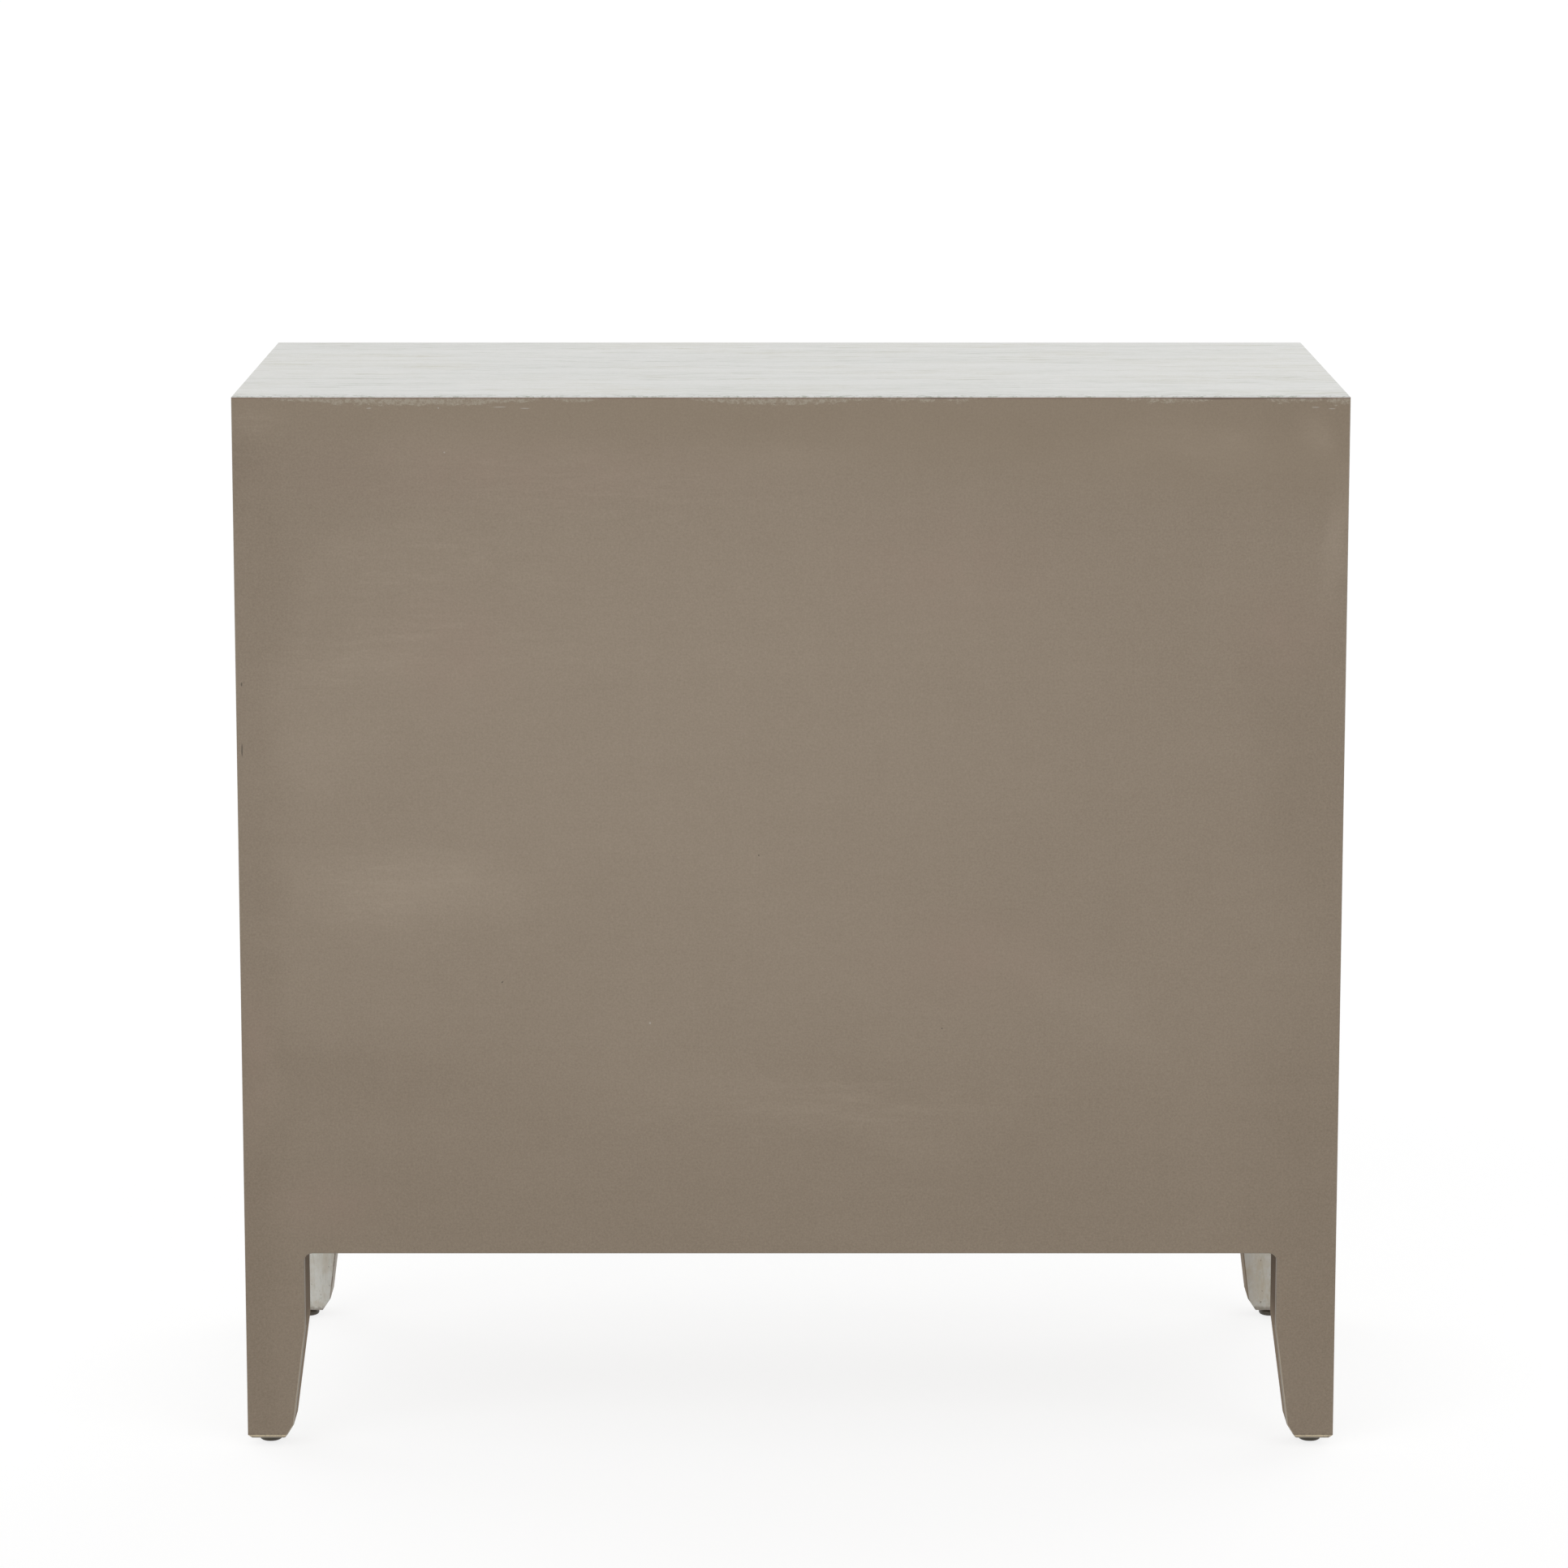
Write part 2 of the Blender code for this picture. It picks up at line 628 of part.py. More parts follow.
def leaf_bmesh(side, own_knuckles):
    """A hinge leaf about its pin: a plate at x > 0 for side 1, its front edge rolled in strips."""
    slot = HINGE_HEIGHT / KNUCKLES
    bottom = -HINGE_HEIGHT / 2
    strips = []
    for i in own_knuckles:
        low = bottom + i * slot + (KNUCKLE_CLEARANCE if i else 0)
        high = bottom + (i + 1) * slot - (KNUCKLE_CLEARANCE if i < KNUCKLES - 1 else 0)
        strips.append((low, high))
    cuts = sorted({bottom, -bottom, *[z for strip in strips for z in strip]})
    near, far = LEAF_OFFSET, LEAF_OFFSET + LEAF_THICKNESS
    front, back = HINGE_STANDOFF, HINGE_STANDOFF + LEAF_WIDTH
    mesh = bmesh.new()
    rings = []
    for z in cuts:
        corners = ((near, front), (far, front), (far, back), (near, back))
        rings.append([mesh.verts.new((x, y, z)) for x, y in corners])
    fronts = {}
    for low, high, z in zip(rings, rings[1:], cuts):
        for i in range(4):
            j = (i + 1) % 4
            face = mesh.faces.new((low[i], low[j], high[j], high[i]))
            if i == 0:
                fronts[z] = face
    mesh.faces.new(rings[0])
    mesh.faces.new(rings[-1])
    for low, _ in strips:
        neck = bmesh.ops.extrude_face_region(mesh, geom=[fronts[low]])["geom"]
        bmesh.ops.delete(mesh, geom=[fronts[low]], context="FACES_ONLY")
        moved = [p for p in neck if isinstance(p, bmesh.types.BMVert)]
        bmesh.ops.translate(mesh, verts=moved, vec=(0, -front, 0))
        end = [p for p in neck if isinstance(p, bmesh.types.BMFace)][0]
        roll = {"cent": (0, 0, 0), "axis": (0, 0, 1), "angle": -ROLL_ANGLE, "steps": ROLL_STEPS}
        bmesh.ops.spin(mesh, geom=[end, *end.edges, *end.verts], **roll)
    mesh.transform(Matrix.Diagonal((side, 1, 1, 1)))
    return mesh


def hinge_screw_places(side, z=0):
    """Where the screws' heads lie on a leaf's face, about the pin, for a leaf at x > 0 on side 1."""
    y = HINGE_STANDOFF + LEAF_WIDTH / 2
    return [(side * LEAF_OFFSET, y, z + dz) for dz in (-SCREW_SPACING / 2, SCREW_SPACING / 2)]


def add_leaf(name, side, own_knuckles, parent, z):
    leaf = add_object(name, leaf_bmesh(side, own_knuckles), brass, parent, smooth=True)
    leaf.location = (0, 0, z)
    holes = countersinks(name + "_holes", hinge_screw_places(side, z), sideways(side), parent=parent)
    boolean(leaf, holes, "DIFFERENCE", "screw_holes")


def add_hinge_pin(name, parent, z):
    end = HINGE_HEIGHT / 2 + SEAM
    cap = end + PIN_CAP_HEIGHT
    half = [
        (PIN_RADIUS, end),
        (PIN_CAP_RADIUS, end),
        (PIN_CAP_RADIUS, cap - PIN_CAP_DOME),
        (PIN_CAP_RADIUS - PIN_CAP_DOME, cap),
    ]
    profile = [(0, -cap)] + [(r, -h) for r, h in reversed(half)] + half + [(0, cap)]
    pin = add_object(name, turned_mesh(profile, SMALL_SIDES), brass, parent, smooth=True)
    pin.location = (0, 0, z)


def add_hinges(axes):
    """Two butt hinges a door. The post's leaf takes the odd knuckles, the door's the even ones."""
    for label, side in SIDES.items():
        fixed = pivot(f"hinge_line_{label}", (side * HINGE_X, HINGE_Y, 0))
        for level, z in zip(("upper", "lower"), HINGE_HEIGHTS):
            add_leaf(f"post_leaf_{level}_{label}", side, range(0, KNUCKLES, 2), fixed, z)
            add_leaf(f"door_{label}_leaf_{level}", -side, range(1, KNUCKLES, 2), axes[label], z)
            add_hinge_pin(f"hinge_pin_{level}_{label}", fixed, z)


def add_stile(name, outer, inner, y0, parent):
    """A door's upright, with a groove for the panel in its edge at x = inner."""
    floor = inner + math.copysign(GROOVE_DEPTH, outer - inner)
    groove = (y0 + GROOVE_Y, y0 + GROOVE_Y + GROOVE_WIDTH)
    plan = [
        (outer, y0),
        (inner, y0),
        (inner, groove[0]),
        (floor, groove[0]),
        (floor, groove[1]),
        (inner, groove[1]),
        (inner, y0 + DOOR_THICKNESS),
        (outer, y0 + DOOR_THICKNESS),
    ]
    mesh = prism_mesh(plan, DOOR_LOW, DOOR_HIGH, "Z")
    return ease(add_object(name, mesh, whitewash, parent))


def add_door_rail(name, x0, x1, z_outer, z_inner, y0, parent):
    """A rail with a groove in its inner edge, and stub tenons that fit the stiles' grooves."""
    into = 1 if z_inner > z_outer else -1
    floor = z_inner - into * GROOVE_DEPTH
    groove = (y0 + GROOVE_Y, y0 + GROOVE_Y + GROOVE_WIDTH)
    outline = [
        (y0, z_outer),
        (y0, z_inner),
        (groove[0], z_inner),
        (groove[0], floor),
        (groove[1], floor),
        (groove[1], z_inner),
        (y0 + DOOR_THICKNESS, z_inner),
        (y0 + DOOR_THICKNESS, z_outer),
    ]
    rail = ease(add_object(name, prism_mesh(outline, x0, x1, "X"), whitewash, parent))
    tenon = GROOVE_DEPTH - PANEL_END_ROOM
    z0, z1 = sorted((z_outer + into * TENON_SHOULDER, floor - into * TENON_SHOULDER))
    low = (x0 - tenon, groove[0] + SEAM, z0)
    high = (x1 + tenon, groove[1] - SEAM, z1)
    boolean(rail, cutter(name + "_tenons", box_mesh((low, high)), parent), "UNION", "stub_tenons")


def add_door(label, side, knob, knob_screw):
    """A door about its hinge pin. It runs from the pin towards the cabinet's middle."""
    axis = pivot(f"door_axis_{label}", (side * HINGE_X, HINGE_Y, 0))
    inward = -side
    y0 = HINGE_STANDOFF
    y1 = y0 + DOOR_THICKNESS
    outer_edge = inward * DOOR_EDGE
    free_edge = inward * DOOR_REACH
    hinge_inner = outer_edge + inward * STILE_WIDTH
    meet_inner = free_edge - inward * STILE_WIDTH
    name = f"door_{label}"

    hinge_stile = add_stile(name + "_hinge_stile", outer_edge, hinge_inner, y0, axis)
    mortises = hinge_mortises(hinge_stile.name, outer_edge, y0, axis, inward)
    boolean(hinge_stile, mortises, "DIFFERENCE", "hinge_mortises")

    meeting_stile = add_stile(name + "_meeting_stile", free_edge, meet_inner, y0, axis)
    knob_x = inward * (HINGE_X - MEETING_STILE_X)
    mouth = (knob_x, y1 + CUT_OVERRUN, KNOB_Z)
    hole = rod_mesh(KNOB_SCREW_RADIUS + SEAM, DOOR_THICKNESS + 2 * CUT_OVERRUN, [mouth], TO_FRONT)
    boolean(meeting_stile, cutter(name + "_knob_hole", hole, axis), "DIFFERENCE", "knob_hole")

    x0, x1 = sorted((hinge_inner + inward * SEAM, meet_inner - inward * SEAM))
    low_inner = DOOR_LOW + DOOR_RAIL_HEIGHT
    high_inner = DOOR_HIGH - DOOR_RAIL_HEIGHT
    add_door_rail(name + "_bottom_rail", x0, x1, DOOR_LOW, low_inner, y0, axis)
    add_door_rail(name + "_top_rail", x0, x1, DOOR_HIGH, high_inner, y0, axis)
    reach = GROOVE_DEPTH - PANEL_END_ROOM
    front = y0 + PANEL_RECESS
    low = (x0 - reach, front, low_inner - reach)
    high = (x1 + reach, front + PANEL_THICKNESS, high_inner + reach)
    add_object(name + "_panel", box_mesh((low, high)), whitewash, axis)

    place(name + "_knob", knob, axis, (knob_x, y0 - SEAM, KNOB_Z), TO_FRONT)
    place(name + "_knob_screw", knob_screw, axis, (knob_x, y1 + SEAM, KNOB_Z), TO_FRONT)
    add_strike(name, axis, inward * (HINGE_X - STRIKE_X), y1 + SEAM)
    return axis


def add_strike(name, axis, x, y0):
    """A steel plate on the door's back for the magnet to hold."""
    half_w = STRIKE_WIDTH / 2
    half_h = STRIKE_HEIGHT / 2
    y1 = y0 + STRIKE_THICKNESS
    low = (x - half_w, y0, STRIKE_Z - half_h)
    high = (x + half_w, y1, STRIKE_Z + half_h)
    strike = ease(add_object(name + "_strike", box_mesh((low, high)), steel, axis), STRIKE_EASE)
    hole = countersinks(name + "_strike_hole", [(x, y1, STRIKE_Z)], TO_FRONT, parent=axis)
    boolean(strike, hole, "DIFFERENCE", "screw_hole")


def knob_data():
    """A mushroom knob along +Z from the door's face, with a blind bore for its screw."""
    bore = KNOB_SCREW_RADIUS + SEAM
    depth = KNOB_SCREW_BITE + KNOB_SCREW_ROOM
    shoulder = KNOB_PROJECTION - SEAM - KNOB_DOME
    flare = (KNOB_RADIUS - KNOB_NECK_RADIUS, KNOB_FLARE)
    cove = KNOB_BASE_RADIUS - KNOB_NECK_RADIUS
    profile = [
        (0, depth),
        (bore, depth),
        (bore, 0),
        (KNOB_BASE_RADIUS, 0),
        (KNOB_BASE_RADIUS, KNOB_LIP),
    ]
    profile += arc((KNOB_BASE_RADIUS, KNOB_LIP + cove), (cove, cove), -110, -180, 3)
    profile += arc((KNOB_NECK_RADIUS, shoulder - KNOB_RIM), flare, -70, -8, 4)
    profile += arc((0, shoulder), (KNOB_RADIUS, KNOB_DOME), 0, 90, 6)
    profile.append((0, KNOB_PROJECTION - SEAM))
    return mesh_data("knob", turned_mesh(profile, ROUND_SIDES), brass, smooth=True)


def knob_screw_data():
    """A pan-head machine screw along +Z, its head's underside at z = 0."""
    length = DOOR_THICKNESS + 2 * SEAM + KNOB_SCREW_BITE
    head = arc((0, 0), (KNOB_SCREW_HEAD_RADIUS, -KNOB_SCREW_HEAD_HEIGHT), 90, 0, 4)
    tip = KNOB_SCREW_RADIUS * END_BEVEL
    profile = head + [
        (KNOB_SCREW_RADIUS, 0),
        (KNOB_SCREW_RADIUS, length - tip),
        (KNOB_SCREW_RADIUS - tip, length),
        (0, length),
    ]
    return mesh_data("knob_screw", turned_mesh(profile, SMALL_SIDES), steel, smooth=True)


def add_catch():
    """A magnetic catch on the back of the top rail: a housing with its screw plate, and a magnet."""
    back_of_rail = FRONT_Y + RAIL_THICKNESS + SEAM
    plate_y = back_of_rail + CATCH_PLATE_THICKNESS
    low_z = OPENING_HIGH - CATCH_DROP
    high_z = OPENING_HIGH + CATCH_RISE
    half = CATCH_WIDTH / 2
    body_half = CATCH_BODY_WIDTH / 2
    plate = ((-half, back_of_rail, OPENING_HIGH), (half, plate_y, high_z))
    body_high = (body_half, back_of_rail + CATCH_BODY_DEPTH, high_z - CATCH_STEP)
    body = ((-body_half, back_of_rail, low_z), body_high)
    housing = ease(add_object("catch_housing", box_mesh(body), dark_plastic))
    boolean(housing, cutter("catch_plate", box_mesh(plate)), "UNION", "screw_plate")
    screws = [(side * CATCH_SCREW_X, plate_y, CATCH_SCREW_Z) for side in SIDES.values()]
    holes = countersinks("catch_holes", screws, TO_FRONT, CATCH_PLATE_THICKNESS)
    boolean(housing, holes, "DIFFERENCE", "screw_holes")

    face_y = DOOR_BACK_Y + SEAM + STRIKE_THICKNESS + SEAM
    z0 = low_z + (CATCH_DROP - MAGNET_HEIGHT) / 2
    low = Vector((-MAGNET_WIDTH / 2, face_y, z0))
    high = Vector((MAGNET_WIDTH / 2, face_y + MAGNET_DEPTH, z0 + MAGNET_HEIGHT))
    room = Vector((SEAM, SEAM, SEAM))
    front = Vector((0, CUT_OVERRUN, 0))
    pocket = cutter("magnet_pocket", box_mesh((low - room - front, high + room)))
    boolean(housing, pocket, "DIFFERENCE", "magnet_pocket")
    add_object("catch_magnet", box_mesh((low, high)), steel)


def clear_scene():
    for old in list(bpy.data.objects):
        bpy.data.objects.remove(old)


clear_scene()
whitewash = finish("whitewashed_wood", (217, 217, 213), 0.55)
back_paint = finish("taupe_back_paint", (141, 129, 115), 0.50)
inside_paint = finish("taupe_inside_paint", (150, 139, 126), 0.60)
brass = finish("aged_brass", (140, 116, 78), 0.38, 1.0)
steel = finish("zinc_steel", (178, 178, 176), 0.35, 1.0)
dark_plastic = finish("dark_plastic", (62, 54, 47), 0.55)
shadow = finish("cutter", (255, 0, 0), 1.0)

add_top()
add_back_panel()
add_posts()
add_side_panels()
add_rails()
add_bottom()
add_shelf()
add_feet()
add_catch()
knob_shape = knob_data()
knob_screw_shape = knob_screw_data()
door_axes = {}
for door_label, door_side in SIDES.items():
    door_axes[door_label] = add_door(door_label, door_side, knob_shape, knob_screw_shape)
add_hinges(door_axes)
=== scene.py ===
"""Looks for a two-door accent cabinet on tapered posts with levelling feet.

All sizes are in metres. The cabinet stands on the floor at z = 0, its doors face -Y and its
back faces +Y. The boards get rounded edges and painted finishes, the fittings get finer
shapes, and the screws and the threaded studs are made with Geometry Nodes.
"""

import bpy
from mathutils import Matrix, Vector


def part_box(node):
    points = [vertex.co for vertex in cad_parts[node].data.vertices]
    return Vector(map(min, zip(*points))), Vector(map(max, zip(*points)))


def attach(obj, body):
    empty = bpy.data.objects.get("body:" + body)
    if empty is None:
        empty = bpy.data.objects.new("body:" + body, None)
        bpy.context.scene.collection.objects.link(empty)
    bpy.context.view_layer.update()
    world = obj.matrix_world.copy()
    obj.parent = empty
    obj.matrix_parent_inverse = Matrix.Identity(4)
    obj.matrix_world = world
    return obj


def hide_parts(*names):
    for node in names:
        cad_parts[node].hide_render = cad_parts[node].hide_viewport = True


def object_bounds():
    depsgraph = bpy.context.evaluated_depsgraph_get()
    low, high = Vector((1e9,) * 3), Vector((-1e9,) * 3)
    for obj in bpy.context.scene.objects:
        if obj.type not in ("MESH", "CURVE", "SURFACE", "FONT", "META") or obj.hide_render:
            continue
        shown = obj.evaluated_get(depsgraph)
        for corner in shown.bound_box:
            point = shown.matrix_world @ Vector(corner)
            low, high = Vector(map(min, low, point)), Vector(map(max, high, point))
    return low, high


bl_info = {
    "name": "Accent Cabinet Finishes",
    "version": (1, 0, 0),
    "blender": (4, 5, 0),
    "location": "3D View > Sidebar > Cabinet",
    "description": "Dresses a two-door accent cabinet with its finishes, fittings and screws",
    "category": "Object",
}

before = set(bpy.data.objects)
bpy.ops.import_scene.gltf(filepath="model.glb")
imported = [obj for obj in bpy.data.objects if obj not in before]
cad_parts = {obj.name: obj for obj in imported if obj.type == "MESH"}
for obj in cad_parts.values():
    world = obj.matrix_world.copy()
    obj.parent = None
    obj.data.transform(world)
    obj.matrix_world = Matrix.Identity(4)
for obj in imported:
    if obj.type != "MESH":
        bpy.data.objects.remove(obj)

import math

import bmesh
import bpy
from bpy.props import FloatProperty, FloatVectorProperty, IntProperty, PointerProperty
from mathutils import Matrix, Vector

CAD_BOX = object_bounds()
HEIGHT = CAD_BOX[1].z
BACK_Y = CAD_BOX[1].y
HALF_WIDTH = CAD_BOX[1].x

SIDES = {"left": -1, "right": 1}
LEVELS = ("upper", "lower")
CORNERS = ("front_left", "front_right", "back_left", "back_right")
AXES = "XYZ"
LEG_X = 0.385  # from the cabinet's middle to the middle of a leg
ENDLESS = 1000.0  # a size that nothing reaches the end of
TOUCHING = 1e-6  # points closer than this are one

# How squarely a face looks along an axis, from 0 to 1, to count as a board's flat side, and to
# count as that side or one of its eased edges
FLAT_ONLY = 0.9
WITH_EDGES = 0.6

# Faces that meet at more than these angles, in degrees, keep a sharp edge between them
BOARD_SHARP = 50
FITTING_SHARP = 40
TURNED_SHARP = 35
THREAD_SHARP = 60

# Sides round the small parts, and rows of points in one turn of a thread
PIN_SIDES = 32
SCREW_SIDES = 24
STUD_SIDES = 24
ROWS_PER_TURN = 6

# Inputs of the Geometry Nodes: the sizes of a wood screw, and the inputs that are whole numbers
SCREW_SIZES = (
    "Screw Head Radius",
    "Screw Head Depth",
    "Screw Shank Radius",
    "Screw Length",
    "Recess Width",
    "Recess Reach",
    "Recess Depth",
)
WHOLE_NUMBERS = ("Seed", "Sides", "Rows")

# Boards that go with the carcass, and the axis that their grain follows
WHITEWASHED_BOARDS = {
    "top_panel": "X",
    **{"post_" + corner: "Z" for corner in CORNERS},
    **{"side_panel_" + side: "Z" for side in SIDES},
    "front_top_rail": "X",
    "front_apron": "X",
}
DOOR_BOARDS = {
    "hinge_stile": "Z",
    "meeting_stile": "Z",
    "bottom_rail": "X",
    "top_rail": "X",
    "panel": "Z",
}
INSIDE_BOARDS = ("back_apron", "bottom_panel", "shelf")

# Soft lighter and darker patches of the paint on the back, the first of them a painted pool of
# light over the back's middle and left: x, z, half width, half height, tilt in degrees, and how
# much they change the tone
BACK_PATCHES_AND_LIT_AREA = (
    # Painted light: the back is lighter over its middle and left, as if lit from above left
    (0.140, 0.560, 0.620, 0.500, 0, 0.22),
    (0.278, 0.423, 0.135, 0.052, -6, 0.25),
    (0.332, 0.545, 0.070, 0.055, 10, 0.12),
    (0.290, 0.600, 0.110, 0.030, -8, 0.08),
    (0.330, 0.290, 0.170, 0.050, 0, -0.14),
    (0.370, 0.730, 0.150, 0.070, 0, -0.20),
    (-0.020, 0.262, 0.220, 0.026, -10, 0.10),
    (-0.212, 0.341, 0.110, 0.026, -36, 0.08),
    (0.200, 0.722, 0.200, 0.040, 2, -0.05),
    (-0.320, 0.757, 0.130, 0.030, 0, 0.20),
    (-0.030, 0.752, 0.090, 0.030, 0, 0.10),
    (0.395, 0.280, 0.030, 0.075, 0, 0.18),
    (-0.385, 0.660, 0.090, 0.110, 0, 0.14),
    (-0.398, 0.772, 0.020, 0.026, 0, 0.40),
    (-0.406, 0.690, 0.016, 0.080, 0, 0.22),
    (0.388, 0.772, 0.030, 0.026, 0, 0.16),
)

# Soft borders of the back, where the tone changes: axis, start, end, and how much it changes
BACK_BORDERS = (
    ("X", -0.320, -0.390, -0.12),
    ("X", 0.355, 0.400, -0.16),
    ("Z", 0.360, 0.140, -0.10),
    ("Z", 0.745, 0.778, -0.10),
)

# Where light brush strokes and scuffs show on the back: x, z, half width, half height
SCUFFED_PLACES = (
    (0.160, 0.728, 0.260, 0.055),
    (0.255, 0.665, 0.150, 0.045),
    (-0.315, 0.757, 0.140, 0.028),
    (0.388, 0.765, 0.030, 0.045),
    (0.270, 0.610, 0.170, 0.050),
    (0.285, 0.425, 0.110, 0.050),
    (-0.050, 0.262, 0.260, 0.030),
)

# Where the paint on the back is a little pinker: x, z, half width, half height
PINKER_PLACES = (
    (0.200, 0.738, 0.270, 0.042),
    (0.245, 0.605, 0.080, 0.070),
    (-0.115, 0.670, 0.120, 0.070),
    (-0.135, 0.375, 0.110, 0.060),
    (-0.360, 0.620, 0.060, 0.060),
    (0.345, 0.187, 0.070, 0.035),
    (0.398, 0.300, 0.025, 0.090),
)

# Where the lighter band under the top reaches down: x, half width and depth
BAND_REACH = (
    (0.275, 0.135, 0.0062),
    (0.153, 0.020, 0.0042),
    (0.005, 0.095, 0.0056),
    (-0.100, 0.070, 0.0036),
    (-0.275, 0.050, 0.0042),
    (-0.365, 0.030, 0.0040),
    (-0.400, 0.014, 0.0056),
)

# Small marks on the back: x, z, half width, half height, tilt in degrees
LIGHT_MARKS = (
    (0.3065, 0.7833, 0.0022, 0.0005, 4),
    (0.2560, 0.7835, 0.0007, 0.0007, 0),
    (0.2115, 0.7842, 0.0055, 0.0004, 1),
    (0.1930, 0.7832, 0.0040, 0.0004, 0),
    (0.2520, 0.7510, 0.0007, 0.0007, 0),
    (-0.3810, 0.7840, 0.0035, 0.0004, 0),
    (-0.3930, 0.7830, 0.0030, 0.0004, 0),
    (0.1040, 0.3260, 0.0009, 0.0009, 0),
)
# The first three dark marks are painted shade in the gap under the top's back edge; the rest are
# dark specks in the paint
DARK_MARKS_AND_GAP_SHADE = (
    (-0.3050, 0.7906, 0.0300, 0.0010, 0),
    (-0.3300, 0.7907, 0.0800, 0.0006, 0),
    (-0.1120, 0.7907, 0.0200, 0.0006, 0),
    (0.4022, 0.5800, 0.0007, 0.0018, 0),
    (0.4026, 0.5310, 0.0006, 0.0060, 0),
    (0.0235, 0.4525, 0.0007, 0.0007, 0),
    (-0.1120, 0.3220, 0.0007, 0.0006, 0),
    (0.2130, 0.3570, 0.0010, 0.0006, 35),
)


def srgb(red, green, blue):
    """An sRGB colour, 0 to 255, as the linear colour that a shader takes."""
    channels = [value / 255 for value in (red, green, blue)]
    return tuple(c / 12.92 if c <= 0.04045 else ((c + 0.055) / 1.055) ** 2.4 for c in channels)


# Tones of small worn or dusty places, and of painted light and painted shade
YELLOWED_GRAIN = srgb(181, 179, 160)
LIT_WHITEWASH = srgb(240, 236, 222)
DUST_AND_SHADE = srgb(112, 98, 84)
SHADED_OVERSPRAY_DARK = srgb(96, 80, 63)
SHADED_OVERSPRAY_LIGHT = srgb(116, 99, 80)
OVERSPRAY_LOW_DOWN = srgb(146, 129, 109)
PINKER_TAUPE = srgb(146, 124, 110)
LIGHT_BAND = srgb(157, 148, 132)
RUBBED_AND_HIGHLIT_TAUPE = srgb(204, 194, 176)
SHADED_SEAM = srgb(112, 82, 72)
TOE_CREAM_HIGHLIGHT = srgb(212, 196, 164)
TOE_GREY_SHADED = srgb(158, 146, 126)
TOE_LINE = srgb(62, 50, 40)
WORN_INSIDE = srgb(182, 170, 152)
FERRITE = srgb(88, 86, 84)
DULL_FERRITE = srgb(62, 60, 58)


def shade(colour, factor):
    """A colour made lighter or darker by a factor."""
    return tuple(min(1.0, channel * factor) for channel in colour)


def colour(name, description, red, green, blue):
    """A colour property with an sRGB default."""
    default = srgb(red, green, blue)
    limits = {"size": 3, "min": 0.0, "max": 1.0}
    return FloatVectorProperty(
        name=name, description=description, default=default, subtype="COLOR", **limits
    )


def number(name, description, default, **more):
    """A number property that doesn't go below 0."""
    return FloatProperty(name=name, description=description, default=default, min=0.0, **more)


def length(name, description, default):
    """A length property in metres, shown with enough figures for small fittings."""
    return number(name, description, default, precision=5, unit="LENGTH")


def fraction(name, description, default):
    """A property from 0 to 1."""
    return number(name, description, default, max=1.0, subtype="FACTOR")


def angle(name, description, degrees):
    """An angle property with its default in degrees."""
    return number(name, description, math.radians(degrees), max=math.pi, subtype="ANGLE")


class CabinetFinishes(bpy.types.PropertyGroup):
    """Colours of the paints, the metals and the plastic."""

    whitewash: colour("Whitewash", "Thin chalky paint on the top, posts and doors", 216, 216, 213)
    grain: colour("Grain", "Wood grain that shows through the whitewash", 178, 181, 171)
    worn_edge: colour("Worn Edge", "Bare wood where the whitewash is rubbed off", 124, 109, 96)
    stain: colour("Stain", "Yellowed whitewash on the legs", 190, 176, 152)
    back_light: colour("Back Light", "Lightest tone of the paint on the back", 152, 138, 121)
    back_dark: colour("Back Dark", "Darkest tone of the paint on the back", 120, 106, 89)
    back_warm: colour("Back Warm", "Browner paint along the top of the back", 134, 119, 99)
    inside: colour("Inside", "Paint on the shelf and the bottom", 150, 139, 126)
    brass: colour("Brass", "Knobs and hinges", 158, 132, 92)
    tarnish: colour("Tarnish", "Dull patches on the brass", 104, 86, 60)
    steel: colour("Steel", "Screws, pins and strike plates", 186, 186, 183)
    insert: colour("Insert", "Yellowed plating of the threaded inserts", 176, 161, 138)
    plastic: colour("Plastic", "Levelling feet and the catch", 74, 67, 54)


class CabinetFittings(bpy.types.PropertyGroup):
    """Sizes of the small parts that are only in the looks."""

    turned_sides: IntProperty(
        name="Turned Sides", description="Sides round a knob or a foot", default=64, min=12, max=256
    )
    screw_head_radius: length("Screw Head Radius", "Radius of a countersunk head", 0.0027)
    screw_head_depth: length("Screw Head Depth", "Height of a countersunk head", 0.00105)
    screw_shank_radius: length("Screw Shank Radius", "Radius below the head", 0.00122)
    screw_length: length("Screw Length", "Length of a wood screw with its head", 0.012)
    recess_width: length("Recess Width", "Width of one arm of a cross recess", 0.0007)
    recess_reach: length("Recess Reach", "Length of one arm across the head", 0.0032)
    recess_depth: length("Recess Depth", "Depth of a cross recess", 0.0007)
    thread_pitch: length("Thread Pitch", "Rise of a stud's thread in one turn", 0.00125)
    thread_depth: length("Thread Depth", "Depth of a stud's thread", 0.00055)


class CabinetStage(bpy.types.PropertyGroup):
    """Floor, light and camera."""

    floor_size: length("Floor Size", "Side of the square floor", 60.0)
    floor_tone: fraction("Floor Tone", "How much light the floor sends back to the cabinet", 0.75)
    shadow_depth: fraction("Shadow Depth", "How strongly the cabinet's shadow shows", 0.26)
    backdrop: number("Backdrop", "Brightness of the world as the camera sees it", 1.0)
    daylight: number("Daylight", "Even light from all round", 0.50)
    lamp_strength: number("Lamp Strength", "Of each soft lamp, before its own share", 0.70)
    lamp_softness: angle("Lamp Softness", "Width of each lamp as the cabinet sees it", 50)
    camera_distance: length("Camera Distance", "From the cabinet's back to the camera", 3.964)
    camera_height: length("Camera Height", "Height of the camera over the floor", 1.24)
    camera_side: length("Camera Side", "How far the camera stands to the left", 0.0116)
    camera_tilt: angle("Camera Tilt", "How far the camera looks down", 9.51)
    lens: number("Lens", "Focal length in millimetres on a 36 mm sensor", 126.0)


